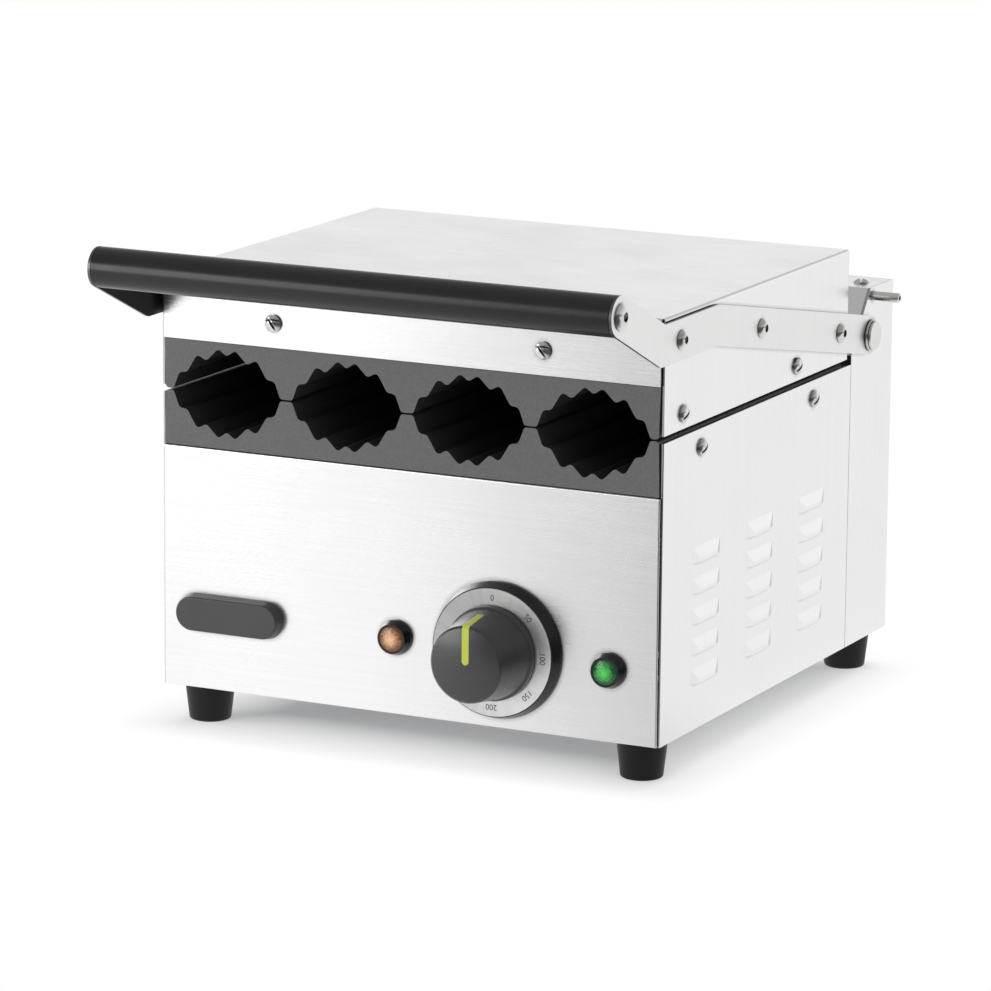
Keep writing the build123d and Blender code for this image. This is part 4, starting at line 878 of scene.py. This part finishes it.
def makeFloor():
    half = floorPaper["half"]
    mesh = bpy.data.meshes.new("floor")
    corners = [(-half, -half, 0), (half, -half, 0), (half, half, 0), (-half, half, 0)]
    mesh.from_pydata(corners, [], [(0, 1, 2, 3)])
    floor = bpy.data.objects.new("floor", mesh)
    bpy.context.scene.collection.objects.link(floor)
    paper = Finish("floorPaper")
    x, y, z = paper.split(paper.place)
    halfX, halfY = floorPaper["bodyHalf"]
    sideways = abs(x) - halfX
    lengthways = abs(y - floorPaper["bodyMiddle"]) - halfY
    pastSide = paper.maths("MAXIMUM", sideways, 0.0)
    pastEnd = paper.maths("MAXIMUM", lengthways, 0.0)
    outside = (pastSide ** 2 + pastEnd ** 2) ** 0.5
    inside = paper.maths("MAXIMUM", 0 - paper.maths("MAXIMUM", sideways, lengthways), 0.0)
    away = outside - inside
    ray = paper.node("ShaderNodeLightPath")
    seen = paper.out(ray, "Is Camera Ray") + paper.out(ray, "Is Transmission Ray")
    mirrored = paper.out(ray, "Is Glossy Ray")
    glow = paper.between(away, *floorPaper["fade"], floorPaper["nearGlow"], 1.0) * seen
    gloss = paper.between(away, *floorPaper["fade"], floorPaper["nearGloss"], 1.0) * mirrored
    wayX, wayY = darkCorner["floorWay"]
    corner = paper.between(x * wayX + y * wayY, *darkCorner["floorSpan"])
    rear = paper.between(y, *floorPaper["frontTo"])
    right = paper.between(x, *floorPaper["rightFrom"]) * rear * mirrored
    dim = corner * (1 - rear) * mirrored
    level = 1 - dim * (1 - darkCorner["level"]) - right * (1 - floorPaper["rightGloss"])
    fibre = paper.noise(paper.place, floorPaper["fibres"])
    shade = paper.signal("ShaderNodeBsdfDiffuse", {}, {
        "Color": (*floorPaper["colour"], 1),
        "Normal": paper.bump(fibre, floorPaper["fibreDepth"], floorPaper["fibreStrength"])})
    light = paper.signal("ShaderNodeEmission", {}, {"Color": paper.joined(level, level, level)})
    share = paper.maths("MAXIMUM", glow + gloss, dim)
    surface = paper.signal("ShaderNodeMixShader", {}, {0: share, 1: shade, 2: light})
    paper.node("ShaderNodeOutputMaterial", {}, {"Surface": surface})
    mesh.materials.append(paper.material)


makeFloor()
print("floor: paper", 2 * floorPaper["half"], "metres wide")

# Studio light: an even room with a bright wall behind, a box above and behind, and one at the front left
studio = {
    "room": 0.50,
    "glossBack": 0.98,
    "glossFront": 0.55,
    "frontToBack": (-0.5, 0.3),
    "glossTop": 0.42,
    "topRise": (0.16, 0.5),
}
softBoxes = {
    "above": {
        "place": (0.0, 0.75, 1.75), "aim": (0, 0.05, 0.2), "size": (2.2, 1.3),
        "level": 3.0, "mirrored": False},
    "front": {
        "place": (-1.76, -1.76, 0.60), "aim": (0, 0, 0.20), "size": (1.9, 1.15),
        "level": 3.2, "mirrored": True},
}


def makeRoom():
    world = bpy.data.worlds.new("studioRoom")
    bpy.context.scene.world = world
    world.use_nodes = True
    room = Tree(world.node_tree)
    x, y, z = room.split(room.signal("ShaderNodeTexCoord", name="Generated"))
    ray = room.node("ShaderNodeLightPath")
    gloss = room.between(y, *studio["frontToBack"], studio["glossFront"], studio["glossBack"])
    top = room.between(z, *studio["topRise"])
    gloss = gloss * (1 - top) + top * studio["glossTop"]
    wayX, wayY = darkCorner["way"]
    corner = room.between(x * wayX + y * wayY, *darkCorner["span"])
    corner = corner * room.between(z, *darkCorner["rise"], 1.0, darkCorner["highShare"])
    gloss = gloss * (1 - corner) + corner * darkCorner["level"]
    isGloss = room.out(ray, "Is Glossy Ray")
    isSeen = room.out(ray, "Is Camera Ray")
    level = gloss * isGloss + isSeen + (1 - isGloss - isSeen) * studio["room"]
    back = room.signal("ShaderNodeBackground", {}, {"Color": room.joined(level, level, level)})
    room.node("ShaderNodeOutputWorld", {}, {"Surface": back})


def makeSoftBox(name, box):
    lamp = bpy.data.lights.new(name, "AREA")
    lamp.shape = "RECTANGLE"
    lamp.size, lamp.size_y = box["size"]
    lamp.energy = box["level"] * math.pi * lamp.size * lamp.size_y
    held = bpy.data.objects.new(name, lamp)
    bpy.context.scene.collection.objects.link(held)
    held.location = box["place"]
    held.visible_glossy = box["mirrored"]
    towards = Vector(box["aim"]) - Vector(box["place"])
    held.rotation_euler = towards.to_track_quat("-Z", "Y").to_euler()


makeRoom()
for boxName, box in softBoxes.items():
    makeSoftBox(boxName, box)
print("light:", len(softBoxes), "soft boxes")

# Camera at the photograph's angle
cameraView = {
    "place": (1.2954, -2.6502, 0.7579),
    "turn": 26.23,  # degrees, as down and roll are
    "down": 12.23,
    "roll": 0.51,
    "lens": 197.11,
    "sensor": 36.0,
    "near": 0.05,
    "far": 60,
}


def makeCamera():
    turn, down, roll = [math.radians(cameraView[name]) for name in ("turn", "down", "roll")]
    forward = Vector((-math.sin(turn) * math.cos(down), math.cos(turn) * math.cos(down), -math.sin(down)))
    level = Vector((math.cos(turn), math.sin(turn), 0))
    upright = level.cross(forward)
    right = level * math.cos(roll) + upright * math.sin(roll)
    up = upright * math.cos(roll) - level * math.sin(roll)
    cameraData = bpy.data.cameras.new("camera")
    cameraData.sensor_width = cameraView["sensor"]
    cameraData.lens = cameraView["lens"]
    cameraData.clip_start = cameraView["near"]
    cameraData.clip_end = cameraView["far"]
    camera = bpy.data.objects.new("camera", cameraData)
    bpy.context.scene.collection.objects.link(camera)
    turnMatrix = Matrix((right, up, -forward)).transposed().to_4x4()
    camera.matrix_world = Matrix.Translation(cameraView["place"]) @ turnMatrix
    bpy.context.scene.camera = camera


makeCamera()
bpy.context.scene.view_settings.view_transform = "Standard"
print("camera: lens", cameraView["lens"])
